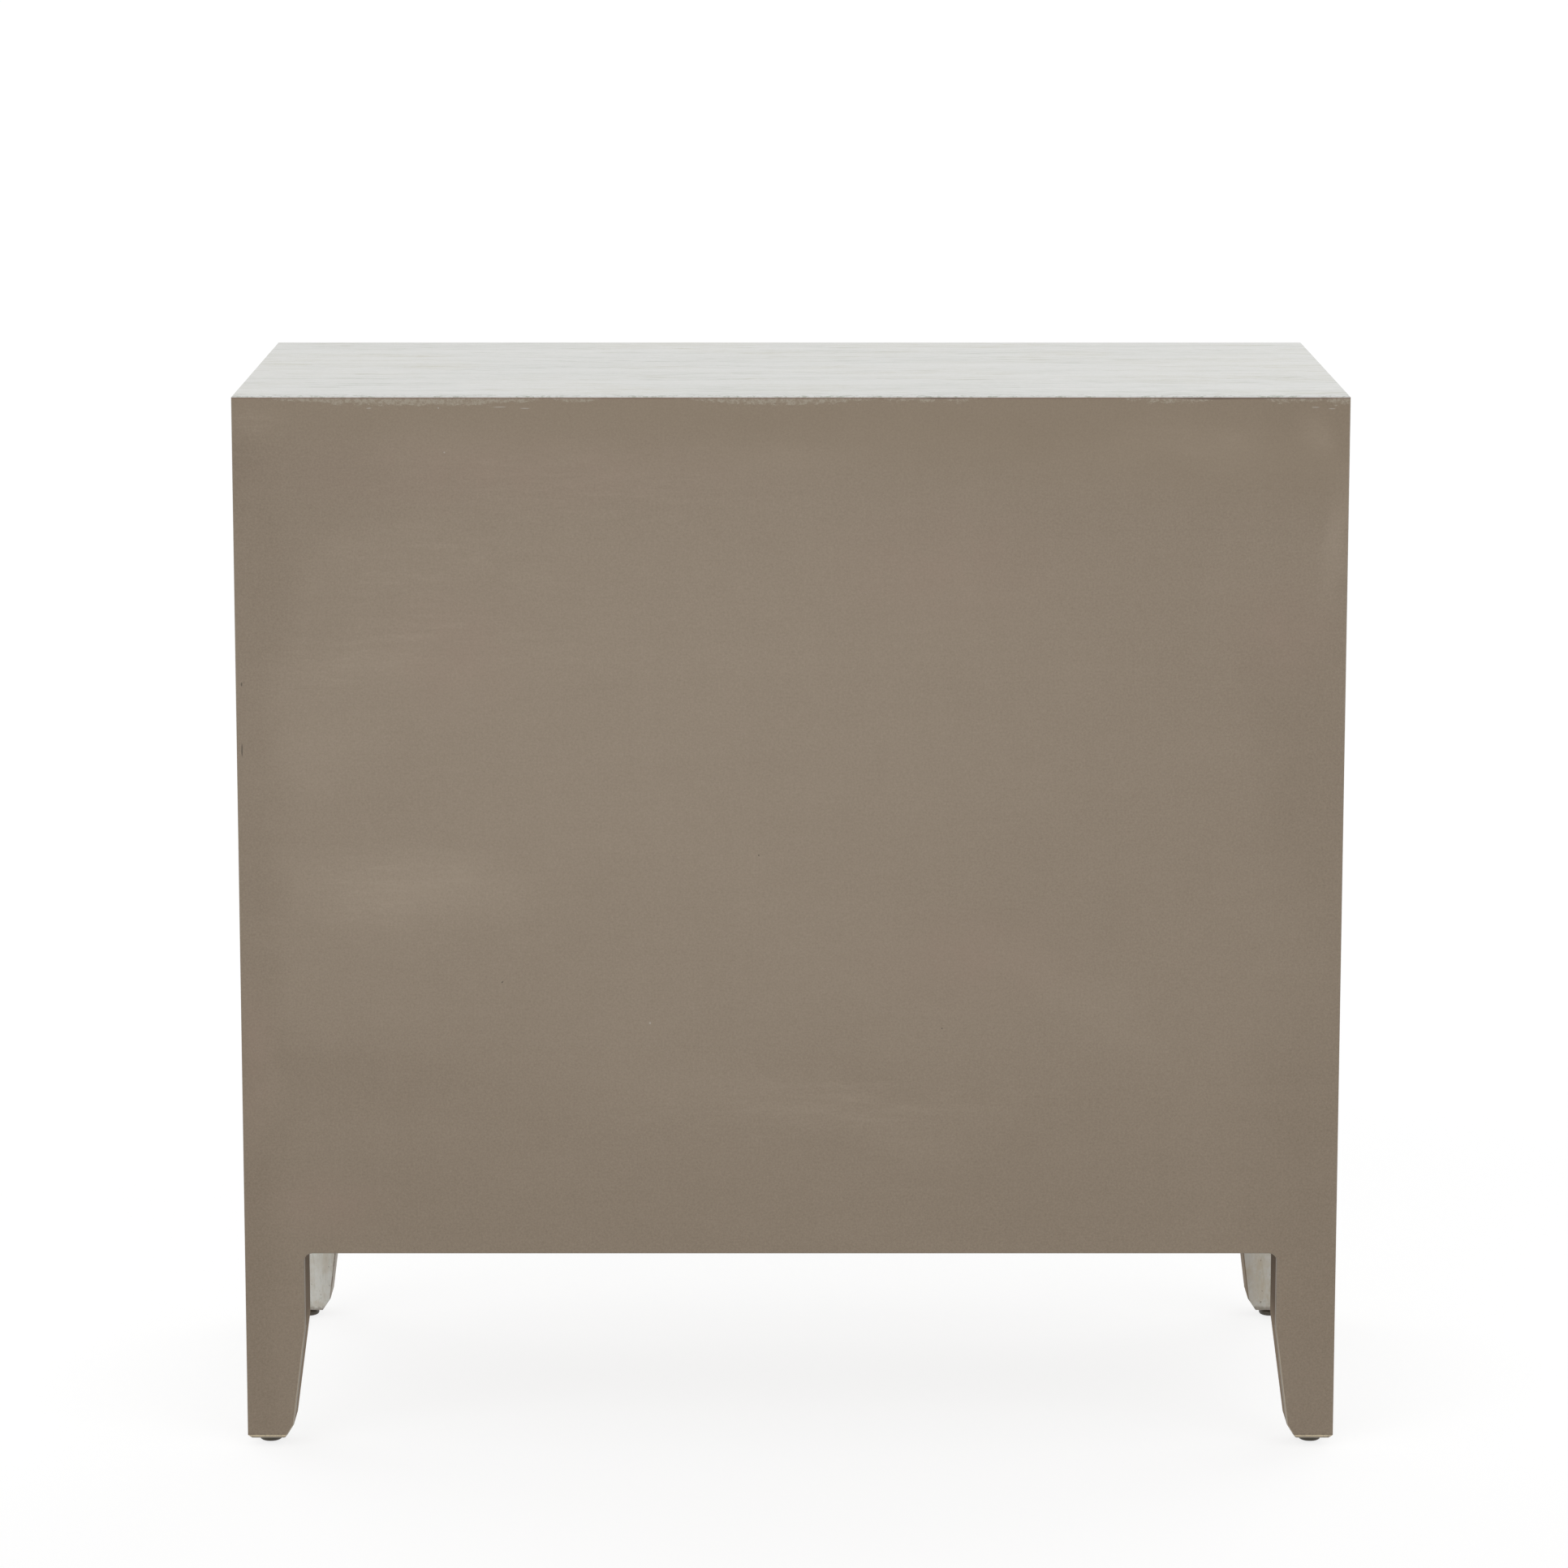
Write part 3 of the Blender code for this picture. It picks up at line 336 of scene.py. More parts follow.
class NodeBench:
    """Adds nodes to one tree and links them, in short calls."""

    def __init__(self, tree):
        self.tree = tree

    def feed(self, socket, value):
        """Links an output to a socket, or sets the socket to a plain value."""
        if isinstance(value, bpy.types.NodeSocket):
            self.tree.links.new(value, socket)
        elif isinstance(value, tuple) and len(value) == 3 and socket.type == "RGBA":
            socket.default_value = (*value, 1.0)
        else:
            socket.default_value = value

    def add(self, kind, inputs=None, **settings):
        """A new node, its settings made and its inputs fed by name or by number."""
        node = self.tree.nodes.new(kind)
        for key, value in settings.items():
            setattr(node, key, value)
        for key, value in (inputs or {}).items():
            self.feed(node.inputs[key], value)
        return node

    def calc(self, operation, *values):
        """The result of a Math node."""
        inputs = dict(enumerate(values))
        return self.add("ShaderNodeMath", inputs, operation=operation).outputs[0]

    def times(self, value, factor):
        """One number times another."""
        return self.calc("MULTIPLY", value, factor)

    def scaled(self, value, factor, added):
        """One number times another, and a third added."""
        return self.calc("MULTIPLY_ADD", value, factor, added)

    def less(self, value, taken):
        """One number less another."""
        return self.calc("SUBTRACT", value, taken)

    def most(self, first, second):
        """The greater of two numbers."""
        return self.calc("MAXIMUM", first, second)

    def vector(self, operation, *values):
        """The vector or the number that a Vector Math node gives."""
        node = self.add("ShaderNodeVectorMath", dict(enumerate(values)), operation=operation)
        return node.outputs["Value" if operation == "LENGTH" else "Vector"]

    def axis(self, vector, letter):
        """One coordinate of a vector."""
        return self.add("ShaderNodeSeparateXYZ", {0: vector}).outputs[letter]

    def between(self, value, low, high):
        """0 below low and 1 above high, with a soft step from one to the other."""
        limits = {"Value": value, "From Min": low, "From Max": high}
        return self.add("ShaderNodeMapRange", limits, interpolation_type="SMOOTHSTEP").outputs[0]

    def raised(self, made, height):
        """What a Geometry Nodes node makes, moved up."""
        lift = self.add("ShaderNodeCombineXYZ", {"Z": height}).outputs[0]
        return self.add("GeometryNodeTransform", {0: made.outputs[0], "Translation": lift})


class Finish(NodeBench):
    """A material in the making, on Object coordinates."""

    def __init__(self, name):
        self.material = bpy.data.materials.new(name)
        self.material.use_nodes = True
        super().__init__(self.material.node_tree)
        self.shader = self.tree.nodes["Principled BSDF"]
        self.place = self.add("ShaderNodeTexCoord").outputs["Object"]

    def noise(self, scale, detail=2.0, roughness=0.5, distortion=0.0, place=None):
        """Noise about 0.5, with its scale per metre."""
        inputs = {"Vector": place or self.place, "Scale": scale, "Detail": detail}
        inputs.update({"Roughness": roughness, "Distortion": distortion})
        return self.add("ShaderNodeTexNoise", inputs).outputs["Fac"]

    def strokes(self, along, slow, fast, detail=2.0, roughness=0.5, distortion=0.0):
        """Noise that changes slowly along one axis and fast across it, like grain."""
        scale = tuple(slow if letter == along else fast for letter in AXES)
        drawn_out = self.add("ShaderNodeMapping", {"Vector": self.place, "Scale": scale})
        return self.noise(1.0, detail, roughness, distortion, drawn_out.outputs[0])

    def mix(self, factor, first, second):
        """The first colour where factor is 0 and the second where it is 1."""
        node = self.add("ShaderNodeMix", {0: factor, 6: first, 7: second}, data_type="RGBA")
        return node.outputs[2]

    def layered(self, base, *layers):
        """A colour with others laid over it in turn, each with its amount and where it shows."""
        for tint, amount, where in layers:
            base = self.mix(where if amount == 1 else self.times(where, amount), base, tint)
        return base

    def patch(self, x, z, half_x, half_z, tilt=0.0, core=0.0, place=None):
        """1 in the core of an ellipse in the XZ plane, falling softly to 0 at its rim."""
        inputs = {
            "Vector": place or self.place,
            "Location": (x, 0.0, z),
            "Rotation": (0.0, math.radians(tilt), 0.0),
            "Scale": (half_x, ENDLESS, half_z),
        }
        local = self.add("ShaderNodeMapping", inputs, vector_type="TEXTURE").outputs[0]
        return self.between(self.vector("LENGTH", local), 1.0, core)

    def patches(self, places, core=0.0, place=None):
        """1 in the cores of several patches and 0 outside them all."""
        found = 0.0
        for sizes in places:
            found = self.most(self.patch(*sizes, core=core, place=place), found)
        return found

    def relief(self, height, distance, strength):
        """Bumps the surface by a height from 0 to 1."""
        inputs = {"Height": height, "Distance": distance, "Strength": strength}
        self.feed(self.shader.inputs["Normal"], self.add("ShaderNodeBump", inputs).outputs[0])

    def marked(self, name):
        """How strongly the faces of a board carry a mark, and 0 on a board without it."""
        return self.add("ShaderNodeAttribute", attribute_name=name).outputs["Fac"]

    def done(self, base, roughness, metallic=0.0):
        """The material, once its shader has its colour and its gloss."""
        self.feed(self.shader.inputs["Base Color"], base)
        self.feed(self.shader.inputs["Roughness"], roughness)
        self.shader.inputs["Metallic"].default_value = metallic
        return self.material


def low_on_the_legs(paint):
    """0 from the cabinet's bottom upward and 1 near the feet."""
    return paint.between(paint.axis(paint.place, "Z"), 0.20, 0.05)


def whitewash(finishes, along):
    """Thin chalky paint over wood whose grain runs along one axis, with painted light low on the +X
    legs and painted shade low on the legs and on the posts' inner sides.
    """
    name = f"whitewash_along_{along.lower()}"
    if name in bpy.data.materials:
        return bpy.data.materials[name]
    paint = Finish(name)
    white = tuple(finishes.whitewash)
    bands = paint.strokes(along, 3.0, 42, 5.0, 0.62, 0.35)
    dashes = paint.strokes(along, 22, 190, 4.0, 0.7, 0.15)
    streaks = paint.strokes(along, 34, 480, 3.0, 0.6)
    pores = paint.strokes(along, 60, 1500)
    cloud = paint.noise(5.0, 3.0)
    clusters = paint.between(bands, 0.36, 0.54)
    yellowed = paint.between(paint.noise(9.0, 3.0), 0.42, 0.62)
    grain = paint.mix(yellowed, tuple(finishes.grain), YELLOWED_GRAIN)
    # Painted light: the whitewash is lighter low on the +X legs, where more light falls
    lit_leg_patch = paint.patch(LEG_X, 0.08, 0.06, 0.20, core=0.6)
    under_the_bottom = paint.between(paint.axis(paint.place, "Z"), 0.175, 0.165)
    painted_over = paint.times(paint.marked("painted_over"), under_the_bottom)
    base = paint.layered(
        white,
        (grain, 0.15, paint.between(bands, 0.40, 0.78)),
        (grain, 0.72, paint.times(paint.between(dashes, 0.56, 0.66), clusters)),
        (grain, 0.50, paint.times(paint.between(streaks, 0.54, 0.64), clusters)),
        (grain, 0.08, paint.between(cloud, 0.45, 0.75)),
        (grain, 0.11, paint.between(paint.noise(330.0, 4.0, 0.75), 0.42, 0.62)),
        (shade(white, 1.10), 0.40, paint.between(dashes, 0.44, 0.34)),
        (LIT_WHITEWASH, 0.30, lit_leg_patch),
        (tuple(finishes.stain), 1, stained_low_down(paint)),
        (tuple(finishes.worn_edge), 1, worn_away(paint)),
        (DUST_AND_SHADE, 1, paint.times(dust_and_shade_inward(paint), under_the_bottom)),
        (overspray(paint, cloud), 1, painted_over),
    )
    height = paint.scaled(streaks, 0.5, paint.times(pores, 0.5))
    paint.relief(paint.scaled(bands, 0.8, height), 0.0004, 0.45)
    roughness = paint.scaled(bands, 0.16, 0.46)
    return paint.done(base, paint.scaled(painted_over, 0.45, roughness))


def dust_and_shade_inward(paint):
    """How much brown dust and painted shade the front legs' back sides have, more toward their
    inner edges and on the -X leg.
    """
    x = paint.axis(paint.place, "X")
    y = paint.axis(paint.place, "Y")
    inward = paint.between(paint.calc("ABSOLUTE", x), 0.386, 0.364)
    from_the_back_side = paint.calc("ABSOLUTE", paint.calc("ADD", y, 0.140))
    on_the_back = paint.between(from_the_back_side, 0.028, 0.018)
    # Painted shade: darker on the -X leg than on the +X leg
    strength = paint.scaled(paint.between(x, 0.1, -0.1), 0.12, 0.18)
    return paint.times(strength, paint.times(inward, on_the_back))


def overspray(paint, cloud):
    """Brown paint from the back on the posts' sides, painted darker than the back's taupe as shade
    and lighter on the +X posts as lit, and the same taupe as the back low down.
    """
    # Painted shade: the overspray brown is darker than the back's taupe
    brown = paint.mix(paint.between(cloud, 0.3, 0.7), SHADED_OVERSPRAY_DARK, SHADED_OVERSPRAY_LIGHT)
    low_down = paint.between(paint.axis(paint.place, "Z"), 0.112, 0.085)
    # Painted light: the overspray is lighter on the +X posts
    lit_on_the_left = paint.between(paint.axis(paint.place, "X"), 0.0, 0.1)
    lighter = paint.most(low_down, paint.times(lit_on_the_left, 0.35))
    return paint.mix(lighter, brown, OVERSPRAY_LOW_DOWN)


def worn_away(paint):
    """How much of the whitewash is gone: specks, rubbed edges and dirt, more of it low down."""
    low_down = low_on_the_legs(paint)
    specks = paint.between(paint.noise(420.0, 1.0), 0.735, 0.77)
    specks = paint.times(specks, paint.scaled(low_down, 0.6, 0.12))
    patchy = paint.noise(70.0, 4.0, 0.7)
    threshold = paint.scaled(low_down, -0.14, 0.63)
    rubbed = paint.between(paint.less(patchy, threshold), -0.03, 0.05)
    rubbed = paint.times(rubbed, paint.scaled(low_down, 0.22, 0.42))
    worn = paint.most(specks, paint.times(paint.marked("eased_edge"), rubbed))
    grubby = paint.times(paint.noise(240.0, 4.0, 0.7), 0.009)
    near_floor = paint.less(paint.axis(paint.place, "Z"), grubby)
    dirt = paint.times(paint.between(near_floor, 0.0068, 0.0030), 0.60)
    return paint.most(worn, dirt)


def stained_low_down(paint):
    """How much the whitewash of the legs has yellowed low down, more on the -X legs, where the
    extra is partly yellowing and partly painted shade.
    """
    blots = paint.between(paint.noise(60.0, 5.0, 0.7), 0.40, 0.62)
    runs = paint.between(paint.strokes("Z", 14, 170, 4.0, 0.7), 0.44, 0.62)
    # More yellowing and painted shade on the -X legs, which get less light
    yellowed_and_shaded_leg = paint.patch(-LEG_X, 0.08, 0.06, 0.25, core=0.7)
    amount = paint.scaled(yellowed_and_shaded_leg, 0.38, -0.09)
    amount = paint.scaled(blots, 0.30, amount)
    amount = paint.scaled(runs, 0.22, amount)
    return paint.times(low_on_the_legs(paint), paint.most(amount, 0.0))


def back_tone(paint):
    """How light the back is, from 0 to 1: blotches and strokes of the paint, placed patches and a
    painted pool of light.
    """
    wander = paint.add("ShaderNodeTexNoise", {"Vector": paint.place, "Scale": 8.0, "Detail": 4.0})
    offset = paint.vector("SUBTRACT", wander.outputs["Color"], (0.5, 0.5, 0.5))
    drifting = paint.vector("MULTIPLY_ADD", offset, (0.13, 0.0, 0.07), paint.place)
    tone = 0.46
    for noise, amount in (
        (paint.strokes("X", 5, 8, 4.0, 0.6), 0.20),
        (paint.strokes("X", 9, 120, 4.0, 0.6), 0.09),
        (paint.strokes("Z", 9, 90, 3.0, 0.6), 0.05),
        (paint.noise(36.0, 4.0, 0.65), 0.12),
        (paint.noise(620.0, 3.0, 0.75), 1.05),
    ):
        tone = paint.scaled(paint.less(noise, 0.5), amount, tone)
    for *sizes, amount in BACK_PATCHES_AND_LIT_AREA:
        tone = paint.scaled(paint.patch(*sizes, place=drifting), amount, tone)
    brushed = paint.between(paint.strokes("X", 26, 210, 4.0, 0.75, 0.3), 0.44, 0.70)
    scuffed = paint.times(brushed, paint.patches(SCUFFED_PLACES, place=drifting))
    tone = paint.scaled(scuffed, 0.18, tone)
    for letter, start, end, amount in BACK_BORDERS:
        border = paint.between(paint.axis(drifting, letter), start, end)
        tone = paint.scaled(border, amount, tone)
    return paint.calc("MINIMUM", paint.most(tone, -0.2), 1.3)


def light_band(paint, below_top):
    """1 in the ragged lighter band right under the top, which reaches down here and there."""
    reach = 0.0
    for x, half_x, depth in BAND_REACH:
        bump = paint.patch(x, 0.0, half_x, ENDLESS, core=0.3)
        reach = paint.most(paint.times(bump, depth), reach)
    ragged = paint.strokes("X", 130, 330, 4.0, 0.8)
    reach = paint.scaled(ragged, 0.014, paint.less(reach, 0.0072))
    band = paint.between(paint.less(reach, below_top), -0.0003, 0.0005)
    mottle = paint.between(paint.noise(300.0, 4.0, 0.75), 0.42, 0.56)
    return paint.times(band, paint.scaled(mottle, 0.85, 0.15))


def back_paint(finishes):
    """Brushed taupe paint, with a ragged lighter band under the top and a few small marks, and
    painted light and shade: a lighter middle, shade in the gap under the top, and highlights on the
    edges and the toes.
    """
    paint = Finish("taupe_back_paint_brushed")
    z = paint.axis(paint.place, "Z")
    below_top = paint.less(HEIGHT, z)
    base = paint.mix(back_tone(paint), tuple(finishes.back_dark), tuple(finishes.back_light))
    cloudy = paint.between(paint.noise(40.0, 5.0, 0.75), 0.36, 0.62)
    pinker = paint.times(paint.patches(PINKER_PLACES), paint.scaled(cloudy, 0.15, 0.08))
    slanting = paint.scaled(paint.axis(paint.place, "X"), 0.07, below_top)
    edges = paint.marked("eased_edge")
    # Paler eased edges, more so low on the legs: rubbed paint, with a painted highlight along the
    # tapered edges
    rubbed_and_highlit_low_down = paint.scaled(paint.between(z, 0.11, 0.07), 0.40, 0.10)
    base = paint.layered(
        base,
        (PINKER_TAUPE, 1, pinker),
        (tuple(finishes.back_warm), 0.42, paint.between(slanting, 0.080, 0.010)),
        (LIGHT_BAND, 0.90, light_band(paint, below_top)),
        (tuple(finishes.whitewash), 0.26, paint.patches(LIGHT_MARKS, core=0.6)),
        (shade(finishes.back_dark, 0.30), 0.75, paint.patches(DARK_MARKS_AND_GAP_SHADE, core=0.6)),
        (RUBBED_AND_HIGHLIT_TAUPE, 1, paint.times(edges, rubbed_and_highlit_low_down)),
    )
    base = toe_wear_and_highlight(paint, base, edges, z)
    # A dark reddish line along the gap under the top: bare wood in the gap, with painted shade of
    # the gap
    shaded_seam = paint.patch(0.0, HEIGHT - 0.0013, 1.0, 0.0008, core=0.5)
    streaks = paint.between(paint.strokes("Z", 22, 190, 4.0, 0.7), 0.46, 0.66)
    white = paint.mix(streaks, tuple(finishes.whitewash), tuple(finishes.grain))
    white = paint.mix(stained_low_down(paint), white, tuple(finishes.stain))
    top = paint.between(z, HEIGHT - 0.0010, HEIGHT - 0.0007)
    whitewashed = paint.most(top, paint.marked("painted_over"))
    base = paint.layered(base, (SHADED_SEAM, 0.50, shaded_seam), (white, 1, whitewashed))
    fine = paint.strokes("X", 90, 900, 3.0, 0.6)
    rolled = paint.noise(700.0)
    paint.relief(paint.calc("ADD", fine, rolled), 0.00025, 0.35)
    return paint.done(base, paint.scaled(fine, 0.14, 0.44))


def toe_wear_and_highlight(paint, base, edges, z):
    """Paint worn to cream bare wood on the bevel under the toes, with its upper part cream as a
    painted highlight, its lower part grey as painted shade, and a dark line along its upper edge.
    """
    patchy = paint.between(paint.noise(300.0, 4.0, 0.7), 0.36, 0.52)
    bevel = paint.times(edges, paint.between(z, 0.0102, 0.0098))
    upper = paint.times(paint.between(z, 0.0078, 0.0086), patchy)
    broken = paint.between(paint.noise(520.0), 0.42, 0.56)
    line = paint.times(paint.patch(0.0, 0.0104, 1.0, 0.0007), broken)
    # Painted highlight and shade: cream on the bevel's upper part, grey on its lower part
    cream = paint.mix(upper, TOE_GREY_SHADED, TOE_CREAM_HIGHLIGHT)
    return paint.layered(base, (cream, 0.9, bevel), (TOE_LINE, 0.55, line))


def inside_paint(finishes):
    """Even taupe paint with faint brush strokes, for the boards inside."""
    name = "taupe_inside_paint_brushed"
    if name in bpy.data.materials:
        return bpy.data.materials[name]
    paint = Finish(name)
    strokes = paint.strokes("X", 6, 140, 4.0, 0.6, 0.2)
    mottle = paint.noise(16.0, 3.0)
    tone = paint.between(paint.scaled(strokes, 0.5, paint.times(mottle, 0.5)), 0.30, 0.70)
    base = paint.mix(tone, shade(finishes.inside, 0.86), shade(finishes.inside, 1.10))
    patchy = paint.between(paint.noise(60.0, 4.0, 0.7), 0.50, 0.60)
    worn = paint.times(paint.marked("eased_edge"), patchy)
    base = paint.layered(base, (WORN_INSIDE, 0.5, worn))
    paint.relief(strokes, 0.0003, 0.40)
    return paint.done(base, paint.scaled(strokes, 0.16, 0.46))


def metal(name, bright, dull, roughness, patch_size, metallic=1.0):
    """Metal with duller patches and fine scratches."""
    if name in bpy.data.materials:
        return bpy.data.materials[name]
    paint = Finish(name)
    patches = paint.noise(1 / patch_size, 4.0, 0.6)
    dullness = paint.between(patches, 0.42, 0.70)
    base = paint.mix(dullness, tuple(bright), tuple(dull))
    scratches = paint.strokes("Z", 300, 5000)
    paint.relief(paint.scaled(scratches, 0.5, patches), 0.00006, 0.5)
    return paint.done(base, paint.scaled(dullness, 0.20, roughness), metallic)


def brass(finishes):
    return metal("aged_brass_patinated", finishes.brass, finishes.tarnish, 0.26, 0.012)


def steel(finishes):
    return metal("zinc_steel_plated", finishes.steel, shade(finishes.steel, 0.72), 0.28, 0.006)


def insert_plating(finishes):
    dull = shade(finishes.insert, 0.75)
    return metal("yellowed_zinc", finishes.insert, dull, 0.42, 0.004, 0.55)


def magnet_ferrite():
    return metal("ferrite_magnet", FERRITE, DULL_FERRITE, 0.48, 0.003, 0.3)


def plastic(finishes):
    """Moulded plastic with a fine grain and scuffed high spots."""
    name = "dark_plastic_moulded"
    if name in bpy.data.materials:
        return bpy.data.materials[name]
    paint = Finish(name)
    grain = paint.noise(1600.0)
    scuffs = paint.between(paint.noise(160.0, 4.0, 0.7), 0.50, 0.72)
    plain = tuple(finishes.plastic)
    base = paint.layered(plain, (shade(plain, 1.5), 0.5, scuffs))
    paint.relief(grain, 0.00008, 0.6)
    return paint.done(base, paint.scaled(scuffs, 0.18, 0.42))


def joined_faces(node):
    """A bmesh of a CAD node whose loose triangles are joined into whole faces."""
    mesh = bmesh.new()
    mesh.from_mesh(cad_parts[node].data)
    bmesh.ops.remove_doubles(mesh, verts=mesh.verts, dist=TOUCHING)
    flat = math.radians(0.5)
    bmesh.ops.dissolve_limit(mesh, angle_limit=flat, verts=mesh.verts, edges=mesh.edges)
    return mesh


def mark_faces(mesh, name, rule):
    """Gives each face what a rule says about it, from 0 to 1, for the paint to find."""
    layer = mesh.loops.layers.float.new(name)
    for face in mesh.faces:
        for corner in face.loops:
            corner[layer] = float(rule(face))


def on_eased_edge(face):
    """Whether a face is one of the slanting strips along a board's edges."""
    return max(abs(part) for part in face.normal) < FLAT_ONLY


def outward_and_middle(face):
    """How much a face looks away from the cabinet's middle, from -1 to 1, and its own middle."""
    middle = face.calc_center_median()
    return face.normal.x * math.copysign(1, middle.x), middle


def beside_the_back(face):
    """Whether a face is on the outer side of the cabinet."""
    outward, middle = outward_and_middle(face)
    return outward > FLAT_ONLY and abs(middle.x) > HALF_WIDTH - 0.001


def toward_the_opening(face):
    """Whether a face is on a post's side toward the middle, with its edges above the taper."""
    outward, middle = outward_and_middle(face)
    least = WITH_EDGES if middle.z > 0.1 else FLAT_ONLY
    return -outward > least and middle.z > 0.02


def toward_the_middle(face):
    """How brown a front post's side toward the middle is: browner on the -X post, partly from brown
    paint and partly as painted shade.
    """
    outward, middle = outward_and_middle(face)
    amount = 0.50 if middle.x > 0 else 0.90
    return amount if -outward > WITH_EDGES and middle.z > 0.004 else 0.0


# Sides of the posts that caught brown paint from the back, which is painted darker as shade, by the
# posts' kind
BROWNED_SIDES = {"post_back": toward_the_opening, "post_front": toward_the_middle}


def data_from(name, mesh, material, sharp_over=BOARD_SHARP):
    """Plain mesh data from a bmesh, smooth except where faces meet at more than an angle."""
    data = bpy.data.meshes.new(name)
    mesh.to_mesh(data)
    mesh.free()
    data.shade_smooth()
    data.set_sharp_from_angle(angle=math.radians(sharp_over))
    data.materials.clear()
    data.materials.append(material)
    return data


def add_piece(name, data, body, nodes=()):
    """A finished piece that rides on a body and stands for the CAD nodes given."""
    piece = bpy.data.objects.new(name, data)
    bpy.context.scene.collection.objects.link(piece)
    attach(piece, body)
    if nodes:
        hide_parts(*nodes)
    return piece


def add_board(node, body, material, painted_over=None):
    """A board with its faces marked for its paint, and softly shaded edges."""
    mesh = joined_faces(node)
    mark_faces(mesh, "eased_edge", on_eased_edge)
    if painted_over:
        mark_faces(mesh, "painted_over", painted_over)
    board = add_piece(node + "_painted", data_from(node, mesh, material), body, [node])
    weights = board.modifiers.new("soft_edges", "WEIGHTED_NORMAL")
    weights.keep_sharp = True


def add_fitting(node, body, material):
    """A smoothly shaded copy of a small metal or plastic node."""
    data = data_from(node, joined_faces(node), material, FITTING_SHARP)
    return add_piece(node + "_finished", data, body, [node])


def turned_mesh(profile, sides, at, direction):
    """A bmesh of a profile of (radius, height) points turned about a line."""
    mesh = bmesh.new()
    points = [mesh.verts.new((radius, 0.0, height)) for radius, height in profile]
    lines = [mesh.edges.new(pair) for pair in zip(points, points[1:])]
    turn = {"cent": (0, 0, 0), "axis": (0, 0, 1), "angle": math.tau, "steps": sides}
    bmesh.ops.spin(mesh, geom=points + lines, **turn)
    bmesh.ops.remove_doubles(mesh, verts=mesh.verts, dist=TOUCHING)
    stand = Vector((0, 0, 1)).rotation_difference(Vector(direction)).to_matrix().to_4x4()
    mesh.transform(Matrix.Translation(at) @ stand)
    bmesh.ops.recalc_face_normals(mesh, faces=mesh.faces)
    return mesh


def arc(centre, radii, start, end, steps):
    """Points (radius, height) round an ellipse between two angles in degrees."""
    angles = [math.radians(start + (end - start) * i / steps) for i in range(steps + 1)]
    (x, z), (wide, high) = centre, radii
    return [(x + wide * math.cos(a), z + high * math.sin(a)) for a in angles]


def foot_point(low, high):
    """The middle of the underside of a box."""
    return ((low.x + high.x) / 2, (low.y + high.y) / 2, low.z)


def new_tree(name, numbers):
    """A Geometry Nodes tree with an input for each number and the material, and its bench."""
    tree = bpy.data.node_groups.new(name, "GeometryNodeTree")
    kinds = {"Geometry": "Geometry"}
    kinds.update((label, "Int" if label in WHOLE_NUMBERS else "Float") for label in numbers)
    kinds["Material"] = "Material"
    for label, kind in kinds.items():
        tree.interface.new_socket(label, in_out="INPUT", socket_type="NodeSocket" + kind)
    tree.interface.new_socket("Geometry", in_out="OUTPUT", socket_type="NodeSocketGeometry")
    bench = NodeBench(tree)
    return tree, bench, bench.add("NodeGroupInput").outputs


def close_tree(bench, geometry, material):
    """Ends a tree in real geometry with its material."""
    real = bench.add("GeometryNodeRealizeInstances", {0: geometry}).outputs[0]
    painted = bench.add("GeometryNodeSetMaterial", {"Geometry": real, "Material": material})
    bench.add("NodeGroupOutput", {0: painted.outputs[0]})


def made_by(tree, data, values):
    """The plain mesh that a tree makes of some mesh data with the values given."""
    holder = bpy.data.objects.new(tree.name, data)
    bpy.context.scene.collection.objects.link(holder)
    modifier = holder.modifiers.new(tree.name, "NODES")
    modifier.node_group = tree
    for item in tree.interface.items_tree:
        if item.in_out == "INPUT" and item.name in values:
            modifier[item.identifier] = values[item.name]
    graph = bpy.context.evaluated_depsgraph_get()
    made = bpy.data.meshes.new_from_object(holder.evaluated_get(graph))
    bpy.data.objects.remove(holder)
    if not made.polygons:
        raise RuntimeError(f"{tree.name} made no faces")
    return made


